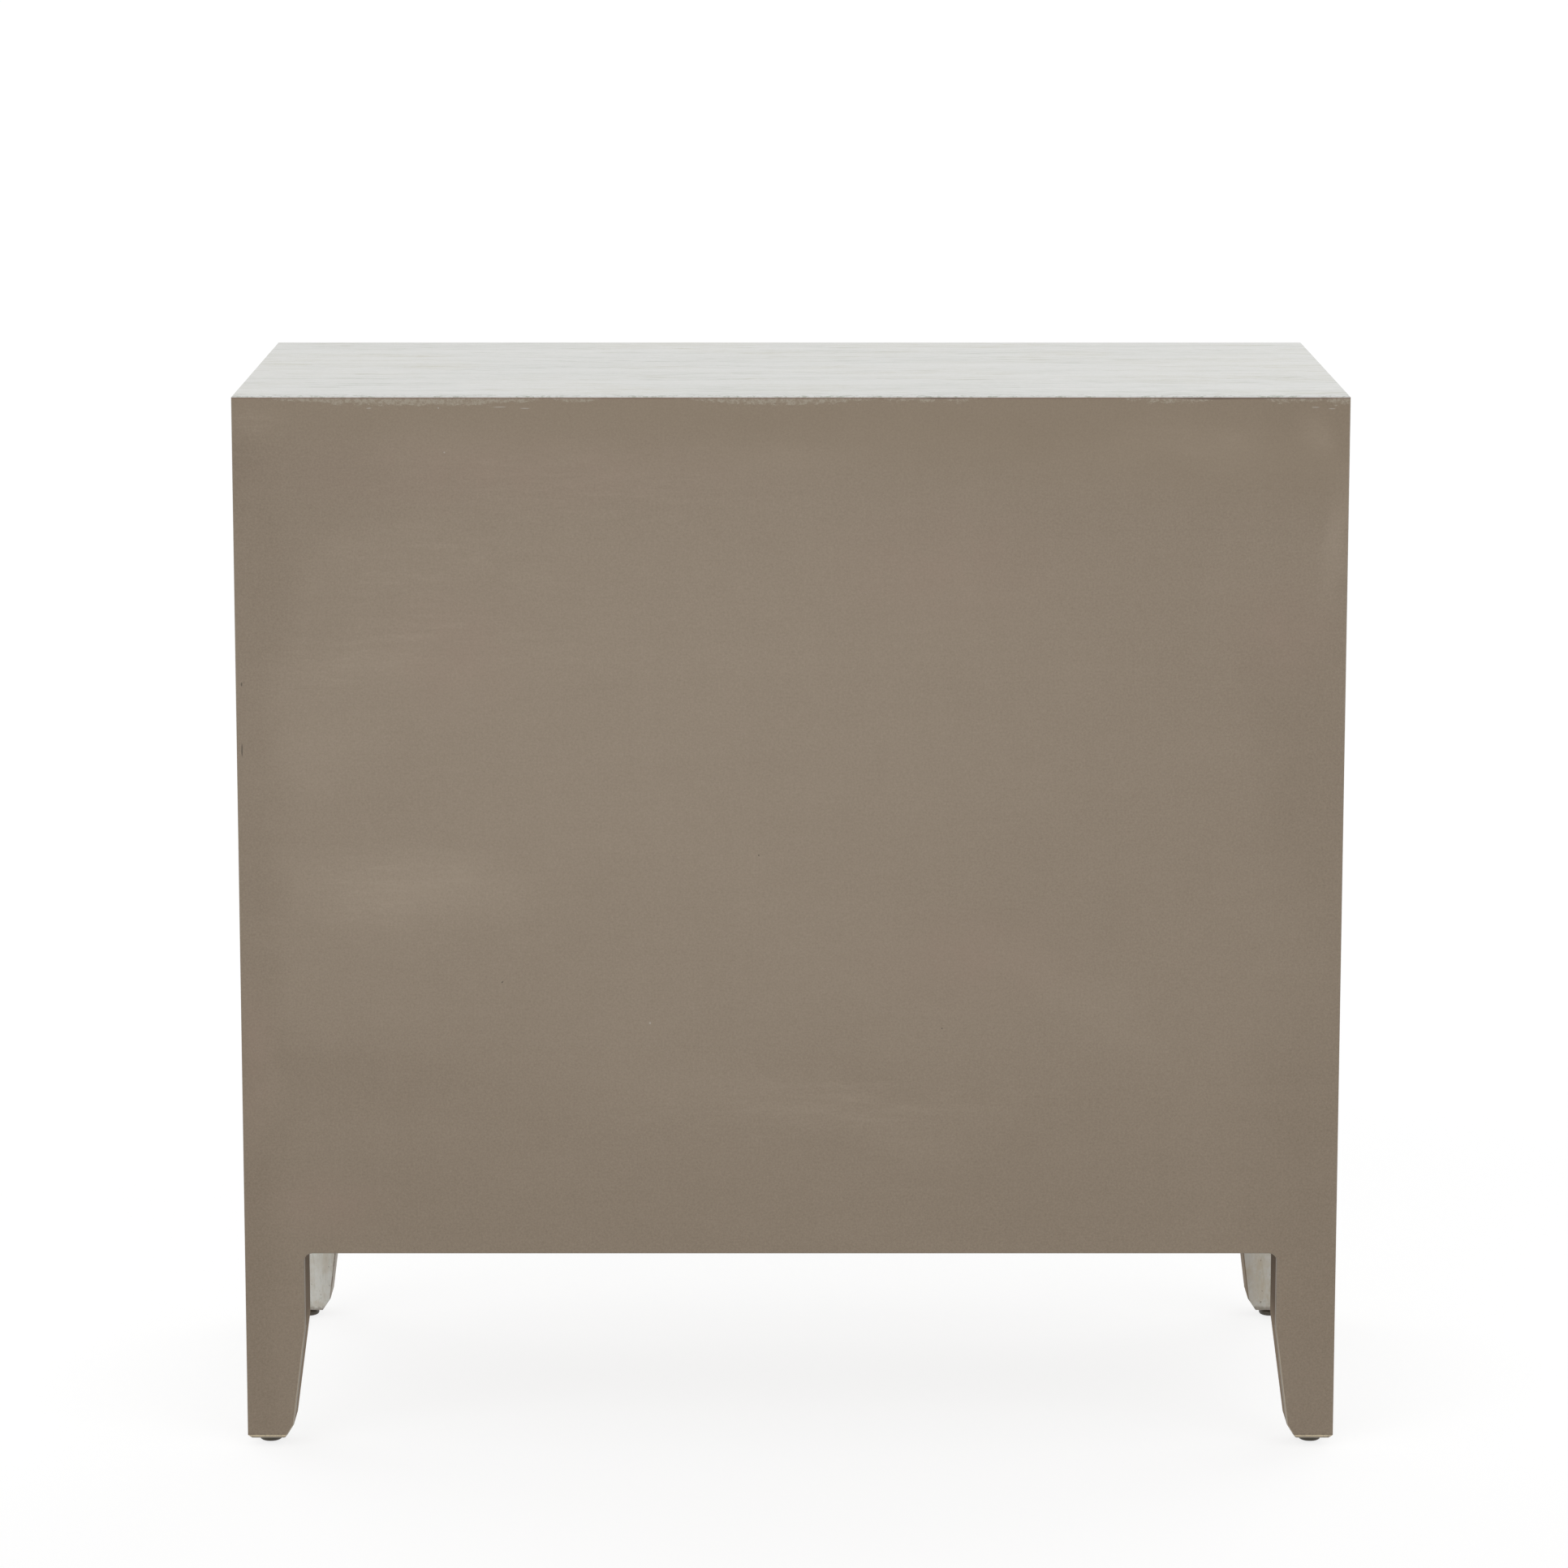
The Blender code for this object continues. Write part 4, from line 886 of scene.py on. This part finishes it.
def screw_tree():
    """Countersunk wood screws on points, each turned a little differently."""
    tree, bench, given = new_tree("countersunk_screws", (*SCREW_SIZES, "Seed"))
    rim, head_depth, neck, length = [given[label] for label in SCREW_SIZES[:4]]
    circle = {"Vertices": SCREW_SIDES, "Radius": rim}
    cap = bench.add("GeometryNodeMeshCircle", circle, fill_type="NGON")
    cap = bench.add("GeometryNodeFlipFaces", {0: cap.outputs[0]})
    cones = []
    for top, bottom, depth in (
        (neck, rim, head_depth),
        (0.0, neck, bench.less(length, head_depth)),
    ):
        sizes = {"Radius Top": top, "Radius Bottom": bottom, "Depth": depth}
        sizes["Vertices"] = SCREW_SIDES
        cones.append(bench.add("GeometryNodeMeshCone", sizes, fill_type="NONE"))
    head, shank = cones
    joined = bench.add("GeometryNodeJoinGeometry")
    for part in (cap, head, bench.raised(shank, head_depth)):
        bench.tree.links.new(part.outputs[0], joined.inputs[0])
    whole = {0: joined.outputs[0], "Distance": TOUCHING}
    whole = bench.add("GeometryNodeMergeByDistance", whole)
    arms = []
    deep = bench.times(given["Recess Depth"], 2.0)
    for across in (("Recess Width", "Recess Reach"), ("Recess Reach", "Recess Width")):
        x, y = [given[label] for label in across]
        size = bench.add("ShaderNodeCombineXYZ", {"X": x, "Y": y, "Z": deep}).outputs[0]
        arms.append(bench.add("GeometryNodeMeshCube", {"Size": size}))
    whole = {"Mesh 1": whole.outputs[0]}
    cut = bench.add("GeometryNodeMeshBoolean", whole, operation="DIFFERENCE")
    for arm in arms:
        bench.tree.links.new(arm.outputs[0], cut.inputs["Mesh 2"])
    named = "GeometryNodeInputNamedAttribute"
    into = bench.add(named, {"Name": "into"}, data_type="FLOAT_VECTOR")
    aim = bench.add("FunctionNodeAlignRotationToVector", {"Vector": into.outputs[0]}, axis="Z")
    placed = bench.add(
        "GeometryNodeInstanceOnPoints",
        {"Points": given["Geometry"], "Instance": cut.outputs[0], "Rotation": aim.outputs[0]},
    )
    chance = bench.add("FunctionNodeRandomValue", {"Seed": given["Seed"]}, data_type="FLOAT")
    around = bench.times(chance.outputs[1], math.tau)
    twist = bench.add("ShaderNodeCombineXYZ", {"Z": around}).outputs[0]
    turned = bench.add("GeometryNodeRotateInstances", {0: placed.outputs[0], "Rotation": twist})
    close_tree(bench, turned.outputs[0], given["Material"])
    return tree


def stud_tree():
    """A threaded stud that stands on the origin, its radius following a right-hand helix."""
    inputs = ("Radius", "Length", "Pitch", "Thread Depth", "Sides", "Rows")
    tree, bench, given = new_tree("threaded_stud", inputs)
    sizes = {"Radius": given["Radius"], "Depth": given["Length"]}
    sizes.update({"Vertices": given["Sides"], "Side Segments": given["Rows"]})
    rod = bench.add("GeometryNodeMeshCylinder", sizes)
    place = bench.add("GeometryNodeInputPosition").outputs[0]
    x, y, z = [bench.axis(place, letter) for letter in AXES]
    turn = bench.calc("DIVIDE", bench.calc("ARCTAN2", y, x), math.tau)
    phase = bench.calc("FRACT", bench.less(bench.calc("DIVIDE", z, given["Pitch"]), turn))
    crest = bench.calc("ABSOLUTE", bench.scaled(phase, 2.0, -1.0))
    half = bench.times(given["Length"], 0.5)
    from_end = bench.less(half, z)
    point = bench.calc("MINIMUM", bench.less(from_end, given["Radius"]), 0.0)
    cut = bench.times(crest, given["Thread Depth"])
    cut = bench.scaled(point, -0.35, cut)
    share = bench.less(1.0, bench.calc("DIVIDE", cut, given["Radius"]))
    scale = bench.add("ShaderNodeCombineXYZ", {"X": share, "Y": share, "Z": 1.0}).outputs[0]
    shaped = bench.vector("MULTIPLY", place, scale)
    cut_rod = bench.add("GeometryNodeSetPosition", {0: rod.outputs[0], "Position": shaped})
    close_tree(bench, bench.raised(cut_rod, half).outputs[0], given["Material"])
    return tree


def screw_places(body):
    """Where the wood screws of one body sit, and which way each one points."""
    leaf_thickness = 0.0012
    leaf_middle = 0.0075
    half_spacing = 0.014
    catch_inset = 0.0035
    catch_face = 0.0025
    catch_drop = 0.006
    places = []
    for label, side in SIDES.items():
        own = {"carcass": "post_leaf_{}_" + label, "door_" + label: f"door_{label}_leaf_" + "{}"}
        if body not in own:
            continue
        way = side if body == "carcass" else -side
        for level in LEVELS:
            low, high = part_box(own[body].format(level))
            far = high.x if way > 0 else low.x
            face = far - way * leaf_thickness
            for dz in (-half_spacing, half_spacing):
                at = Vector((face, high.y - leaf_middle, (low.z + high.z) / 2 + dz))
                places.append((at, Vector((way, 0, 0))))
    if body == "carcass":
        low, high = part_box("catch_housing")
        for x in (low.x + catch_inset, high.x - catch_inset):
            at = Vector((x, low.y + catch_face, high.z - catch_drop))
            places.append((at, Vector((0, -1, 0))))
    else:
        low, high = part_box(body + "_strike")
        middle = (low + high) / 2
        places.append((Vector((middle.x, high.y, middle.z)), Vector((0, -1, 0))))
    return places


def add_screws(body, tree, fittings, material, seed):
    """All wood screws that ride on one body, as one piece."""
    places = screw_places(body)
    points = bpy.data.meshes.new(body + "_screw_points")
    points.from_pydata([at for at, _ in places], [], [])
    into = points.attributes.new("into", "FLOAT_VECTOR", "POINT")
    for item, (_, way) in zip(into.data, places):
        item.vector = way
    values = {"Seed": seed, "Material": material}
    for label in SCREW_SIZES:
        values[label] = getattr(fittings, label.lower().replace(" ", "_"))
    data = made_by(tree, points, values)
    data.shade_smooth()
    data.set_sharp_from_angle(angle=math.radians(TURNED_SHARP))
    add_piece(body + "_wood_screws", data, body)


class CABINET_OT_finish_carcass(bpy.types.Operator):
    """Rounds and paints the boards of the carcass"""

    bl_idname = "cabinet.finish_carcass"
    bl_label = "Finish Carcass"

    def execute(self, context):
        finishes = context.scene.cabinet_finishes
        for node, along in WHITEWASHED_BOARDS.items():
            paint = whitewash(finishes, along)
            browned = BROWNED_SIDES.get(node.rpartition("_")[0])
            add_board(node, "carcass", paint, browned)
        for node in INSIDE_BOARDS:
            add_board(node, "carcass", inside_paint(finishes))
        paint = back_paint(finishes)
        add_board("back_panel", "carcass", paint, beside_the_back)
        return {"FINISHED"}


class CABINET_OT_finish_doors(bpy.types.Operator):
    """Rounds and paints the stiles, rails and panels of the doors"""

    bl_idname = "cabinet.finish_doors"
    bl_label = "Finish Doors"

    def execute(self, context):
        finishes = context.scene.cabinet_finishes
        for label in SIDES:
            body = "door_" + label
            for part, along in DOOR_BOARDS.items():
                add_board(f"{body}_{part}", body, whitewash(finishes, along))
        return {"FINISHED"}


class CABINET_OT_turn_knobs(bpy.types.Operator):
    """Turns the knobs and finishes their screws"""

    bl_idname = "cabinet.turn_knobs"
    bl_label = "Turn Knobs"

    def execute(self, context):
        finishes = context.scene.cabinet_finishes
        sides = context.scene.cabinet_fittings.turned_sides
        for label in SIDES:
            body = "door_" + label
            self.add_knob(body, sides, brass(finishes))
            add_fitting(body + "_knob_screw", body, steel(finishes))
        return {"FINISHED"}

    def add_knob(self, body, sides, material):
        """A mushroom knob from its foot on the door to its domed face."""
        low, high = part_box(body + "_knob")
        radius = (high.x - low.x) / 2
        reach = high.y - low.y
        dome = reach * 0.25
        shoulder = reach - dome
        neck = radius / 3
        foot = radius * 0.565
        cove = foot - neck
        lip = reach * 0.045
        bore, bore_end, edge = neck * 0.46, reach * 0.46, foot * 0.96
        profile = [(0, bore_end), (bore, bore_end), (bore, 0), (edge, 0)]
        profile += arc((edge, lip * 0.5), (foot * 0.04, lip * 0.5), -60, 90, 4)
        profile += arc((foot, lip + cove), (cove, cove), -105, -180, 10)
        profile += arc((neck, shoulder - 0.001), (radius - neck, shoulder * 0.42), -75, -8, 14)
        profile += arc((0, shoulder), (radius, dome), 0, 90, 18)
        at = ((low.x + high.x) / 2, high.y, (low.z + high.z) / 2)
        mesh = turned_mesh(profile, sides, at, (0, -1, 0))
        data = data_from(body + "_knob", mesh, material, TURNED_SHARP)
        add_piece(body + "_turned_knob", data, body, [body + "_knob"])


class CABINET_OT_finish_hinges(bpy.types.Operator):
    """Finishes the hinge leaves and turns their pins"""

    bl_idname = "cabinet.finish_hinges"
    bl_label = "Finish Hinges"

    def execute(self, context):
        material = brass(context.scene.cabinet_finishes)
        for label in SIDES:
            for level in LEVELS:
                add_fitting(f"post_leaf_{level}_{label}", "carcass", material)
                add_fitting(f"door_{label}_leaf_{level}", "door_" + label, material)
                self.add_pin(f"hinge_pin_{level}_{label}", material)
        return {"FINISHED"}

    def add_pin(self, node, material):
        """A pin with a small domed cap over each end of the barrel."""
        low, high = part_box(node)
        middle = (low + high) / 2
        half = (high.z - low.z) / 2
        cap_radius = (high.x - low.x) / 2
        cap = 0.0013
        neck = 0.001
        dome = 0.0006
        top = arc((cap_radius - dome, half - dome), (dome, dome), 0, 90, 5)
        upper = [(neck, half - cap), (cap_radius, half - cap)] + top + [(0, half)]
        profile = [(r, -h) for r, h in reversed(upper)] + upper
        mesh = turned_mesh(profile, PIN_SIDES, middle, (0, 0, 1))
        data = data_from(node, mesh, material, TURNED_SHARP)
        add_piece(node + "_turned", data, "carcass", [node])


class CABINET_OT_finish_catch(bpy.types.Operator):
    """Finishes the magnetic catch, the strike plates and the shelf pins"""

    bl_idname = "cabinet.finish_catch"
    bl_label = "Finish Catch"

    def execute(self, context):
        finishes = context.scene.cabinet_finishes
        add_fitting("catch_housing", "carcass", plastic(finishes))
        add_fitting("catch_magnet", "carcass", magnet_ferrite())
        for label in SIDES:
            body = "door_" + label
            add_fitting(body + "_strike", body, steel(finishes))
            for row in ("front", "back"):
                add_fitting(f"shelf_pin_{row}_{label}", "carcass", steel(finishes))
        return {"FINISHED"}


class CABINET_OT_make_feet(bpy.types.Operator):
    """Makes the levelling feet, their threaded studs and the inserts"""

    bl_idname = "cabinet.make_feet"
    bl_label = "Make Feet"

    def execute(self, context):
        finishes = context.scene.cabinet_finishes
        fittings = context.scene.cabinet_fittings
        tree = stud_tree()
        plating = insert_plating(finishes)
        for corner in CORNERS:
            add_fitting("leveler_insert_" + corner, "carcass", plating)
            self.add_disc(corner, fittings.turned_sides, plastic(finishes))
            self.add_stud(corner, tree, fittings, steel(finishes))
        return {"FINISHED"}

    def add_disc(self, corner, sides, material):
        """A moulded disc with rounded rims and a socket for its stud."""
        node = "leveler_foot_" + corner
        low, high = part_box(node)
        radius = (high.x - low.x) / 2
        height = high.z - low.z
        edge = height * 0.44
        rim = radius - edge
        socket = 0.0033
        floor = 0.0015
        profile = [(0, 0)]
        profile += arc((rim, edge), (edge, edge), -90, 0, 8)
        profile += arc((rim, height - edge), (edge, edge), 0, 90, 8)
        profile += [(socket, height), (socket, floor), (0, floor)]
        mesh = turned_mesh(profile, sides, foot_point(low, high), (0, 0, 1))
        data = data_from(node, mesh, material, TURNED_SHARP)
        add_piece(node + "_moulded", data, "foot_" + corner, [node])

    def add_stud(self, corner, tree, fittings, material):
        """A threaded stud that screws into the insert in the post."""
        node = "leveler_stem_" + corner
        low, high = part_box(node)
        tall = high.z - low.z
        values = {
            "Radius": (high.x - low.x) / 2,
            "Length": tall,
            "Pitch": fittings.thread_pitch,
            "Thread Depth": fittings.thread_depth,
            "Sides": STUD_SIDES,
            "Rows": round(ROWS_PER_TURN * tall / fittings.thread_pitch),
            "Material": material,
        }
        data = made_by(tree, bpy.data.meshes.new(node), values)
        data.transform(Matrix.Translation(foot_point(low, high)))
        data.shade_smooth()
        data.set_sharp_from_angle(angle=math.radians(THREAD_SHARP))
        add_piece(node + "_threaded", data, "stem_" + corner, [node])


class CABINET_OT_drive_screws(bpy.types.Operator):
    """Drives the wood screws of the hinges, the catch and the strike plates"""

    bl_idname = "cabinet.drive_screws"
    bl_label = "Drive Screws"

    def execute(self, context):
        fittings = context.scene.cabinet_fittings
        material = steel(context.scene.cabinet_finishes)
        tree = screw_tree()
        for seed, body in enumerate(("carcass", "door_left", "door_right")):
            add_screws(body, tree, fittings, material, seed)
        return {"FINISHED"}


class CABINET_OT_set_stage(bpy.types.Operator):
    """Lays the floor, sets the light and stands the camera behind the cabinet"""

    bl_idname = "cabinet.set_stage"
    bl_label = "Set Stage"

    def execute(self, context):
        stage = context.scene.cabinet_stage
        self.lay_floor(stage)
        self.set_world(context.scene, stage)
        self.add_lamps(stage)
        self.stand_camera(context.scene, stage)
        context.scene.view_settings.view_transform = "Standard"
        return {"FINISHED"}

    def lay_floor(self, stage):
        """A square floor that is no part of the cabinet."""
        half = stage.floor_size / 2
        corners = [(-half, -half, 0), (half, -half, 0), (half, half, 0), (-half, half, 0)]
        data = bpy.data.meshes.new("floor")
        data.from_pydata(corners, [], [(0, 1, 2, 3)])
        data.materials.append(self.floor_material(stage))
        floor = bpy.data.objects.new("floor", data)
        bpy.context.scene.collection.objects.link(floor)

    def floor_material(self, stage):
        """A pale floor that keeps the shadow, and shows white to the camera elsewhere."""
        material = bpy.data.materials.new("pale_floor")
        material.use_nodes = True
        bench = NodeBench(material.node_tree)
        material.node_tree.nodes.clear()
        seen = self.seen_directly(bench)
        drop = stage.shadow_depth - stage.floor_tone
        tone = bench.scaled(seen, drop, stage.floor_tone)
        matte = bench.add("ShaderNodeBsdfDiffuse", {"Color": tone}).outputs[0]
        full_white = 1.05
        glow = bench.times(seen, full_white - stage.shadow_depth)
        lit = bench.add("ShaderNodeEmission", {"Strength": glow}).outputs[0]
        both = bench.add("ShaderNodeAddShader", {0: matte, 1: lit}).outputs[0]
        bench.add("ShaderNodeOutputMaterial", {"Surface": both})
        return material

    def seen_directly(self, bench):
        """1 for rays from the camera, in a mirror or through glass, and 0 for light."""
        path = bench.add("ShaderNodeLightPath").outputs
        seen = bench.most(path["Is Camera Ray"], path["Is Glossy Ray"])
        return bench.most(seen, path["Is Transmission Ray"])

    def set_world(self, scene, stage):
        """Even white light, and a white backdrop."""
        world = bpy.data.worlds.new("studio")
        world.use_nodes = True
        scene.world = world
        bench = NodeBench(world.node_tree)
        world.node_tree.nodes.clear()
        seen = self.seen_directly(bench)
        extra = stage.backdrop - stage.daylight
        strength = bench.scaled(seen, extra, stage.daylight)
        light = bench.add("ShaderNodeBackground", {"Strength": strength}).outputs[0]
        light.node.inputs["Color"].default_value = (1.0, 1.0, 1.0, 1.0)
        bench.add("ShaderNodeOutputWorld", {"Surface": light})

    def add_lamps(self, stage):
        """Four wide soft lamps round the cabinet: the way to each one, and its share."""
        places = {
            "lamp_back_left": ((0.70, 1.00, 0.60), 1.15),
            "lamp_back_right": ((-0.80, 0.90, 0.60), 0.85),
            "lamp_front_left": ((-0.70, -1.00, 0.60), 1.10),
            "lamp_front_right": ((0.80, -0.90, 0.60), 0.90),
        }
        lamp_distance = 4.0
        for name, (toward, share) in places.items():
            data = bpy.data.lights.new(name, "SUN")
            data.energy = stage.lamp_strength * share
            data.angle = stage.lamp_softness
            lamp = bpy.data.objects.new(name, data)
            lamp.location = Vector(toward) * lamp_distance
            lamp.rotation_euler = Vector(toward).to_track_quat("Z", "Y").to_euler()
            bpy.context.scene.collection.objects.link(lamp)

    def stand_camera(self, scene, stage):
        """A camera behind the cabinet that looks down a little."""
        data = bpy.data.cameras.new("camera")
        data.lens = stage.lens
        data.sensor_width = 36.0
        data.shift_x = 0.0058
        data.shift_y = -0.06
        data.clip_start = 0.05
        data.clip_end = 200.0
        camera = bpy.data.objects.new("camera", data)
        camera.location = (stage.camera_side, BACK_Y + stage.camera_distance, stage.camera_height)
        camera.rotation_euler = (math.radians(90) - stage.camera_tilt, 0.0, math.radians(180))
        scene.collection.objects.link(camera)
        scene.camera = camera


OPERATORS = (
    CABINET_OT_finish_carcass,
    CABINET_OT_finish_doors,
    CABINET_OT_turn_knobs,
    CABINET_OT_finish_hinges,
    CABINET_OT_finish_catch,
    CABINET_OT_make_feet,
    CABINET_OT_drive_screws,
    CABINET_OT_set_stage,
)
SETTINGS = {
    "cabinet_finishes": CabinetFinishes,
    "cabinet_fittings": CabinetFittings,
    "cabinet_stage": CabinetStage,
}


class CABINET_PT_sidebar(bpy.types.Panel):
    """Settings and steps of the cabinet's finishes."""

    bl_idname = "CABINET_PT_sidebar"
    bl_label = "Accent Cabinet"
    bl_space_type = "VIEW_3D"
    bl_region_type = "UI"
    bl_category = "Cabinet"

    def draw(self, context):
        for name, group in SETTINGS.items():
            box = self.layout.box()
            for label in group.__annotations__:
                box.prop(getattr(context.scene, name), label)
        steps = self.layout.column()
        for step in OPERATORS:
            steps.operator(step.bl_idname)


def register():
    for group in (*SETTINGS.values(), *OPERATORS, CABINET_PT_sidebar):
        bpy.utils.register_class(group)
    for name, group in SETTINGS.items():
        setattr(bpy.types.Scene, name, PointerProperty(type=group))


def unregister():
    for name in SETTINGS:
        delattr(bpy.types.Scene, name)
    for group in reversed((*SETTINGS.values(), *OPERATORS, CABINET_PT_sidebar)):
        bpy.utils.unregister_class(group)


def main():
    register()
    bpy.ops.cabinet.finish_carcass()
    bpy.ops.cabinet.finish_doors()
    bpy.ops.cabinet.turn_knobs()
    bpy.ops.cabinet.finish_hinges()
    bpy.ops.cabinet.finish_catch()
    bpy.ops.cabinet.make_feet()
    bpy.ops.cabinet.drive_screws()
    bpy.ops.cabinet.set_stage()


if __name__ == "__main__":
    main()
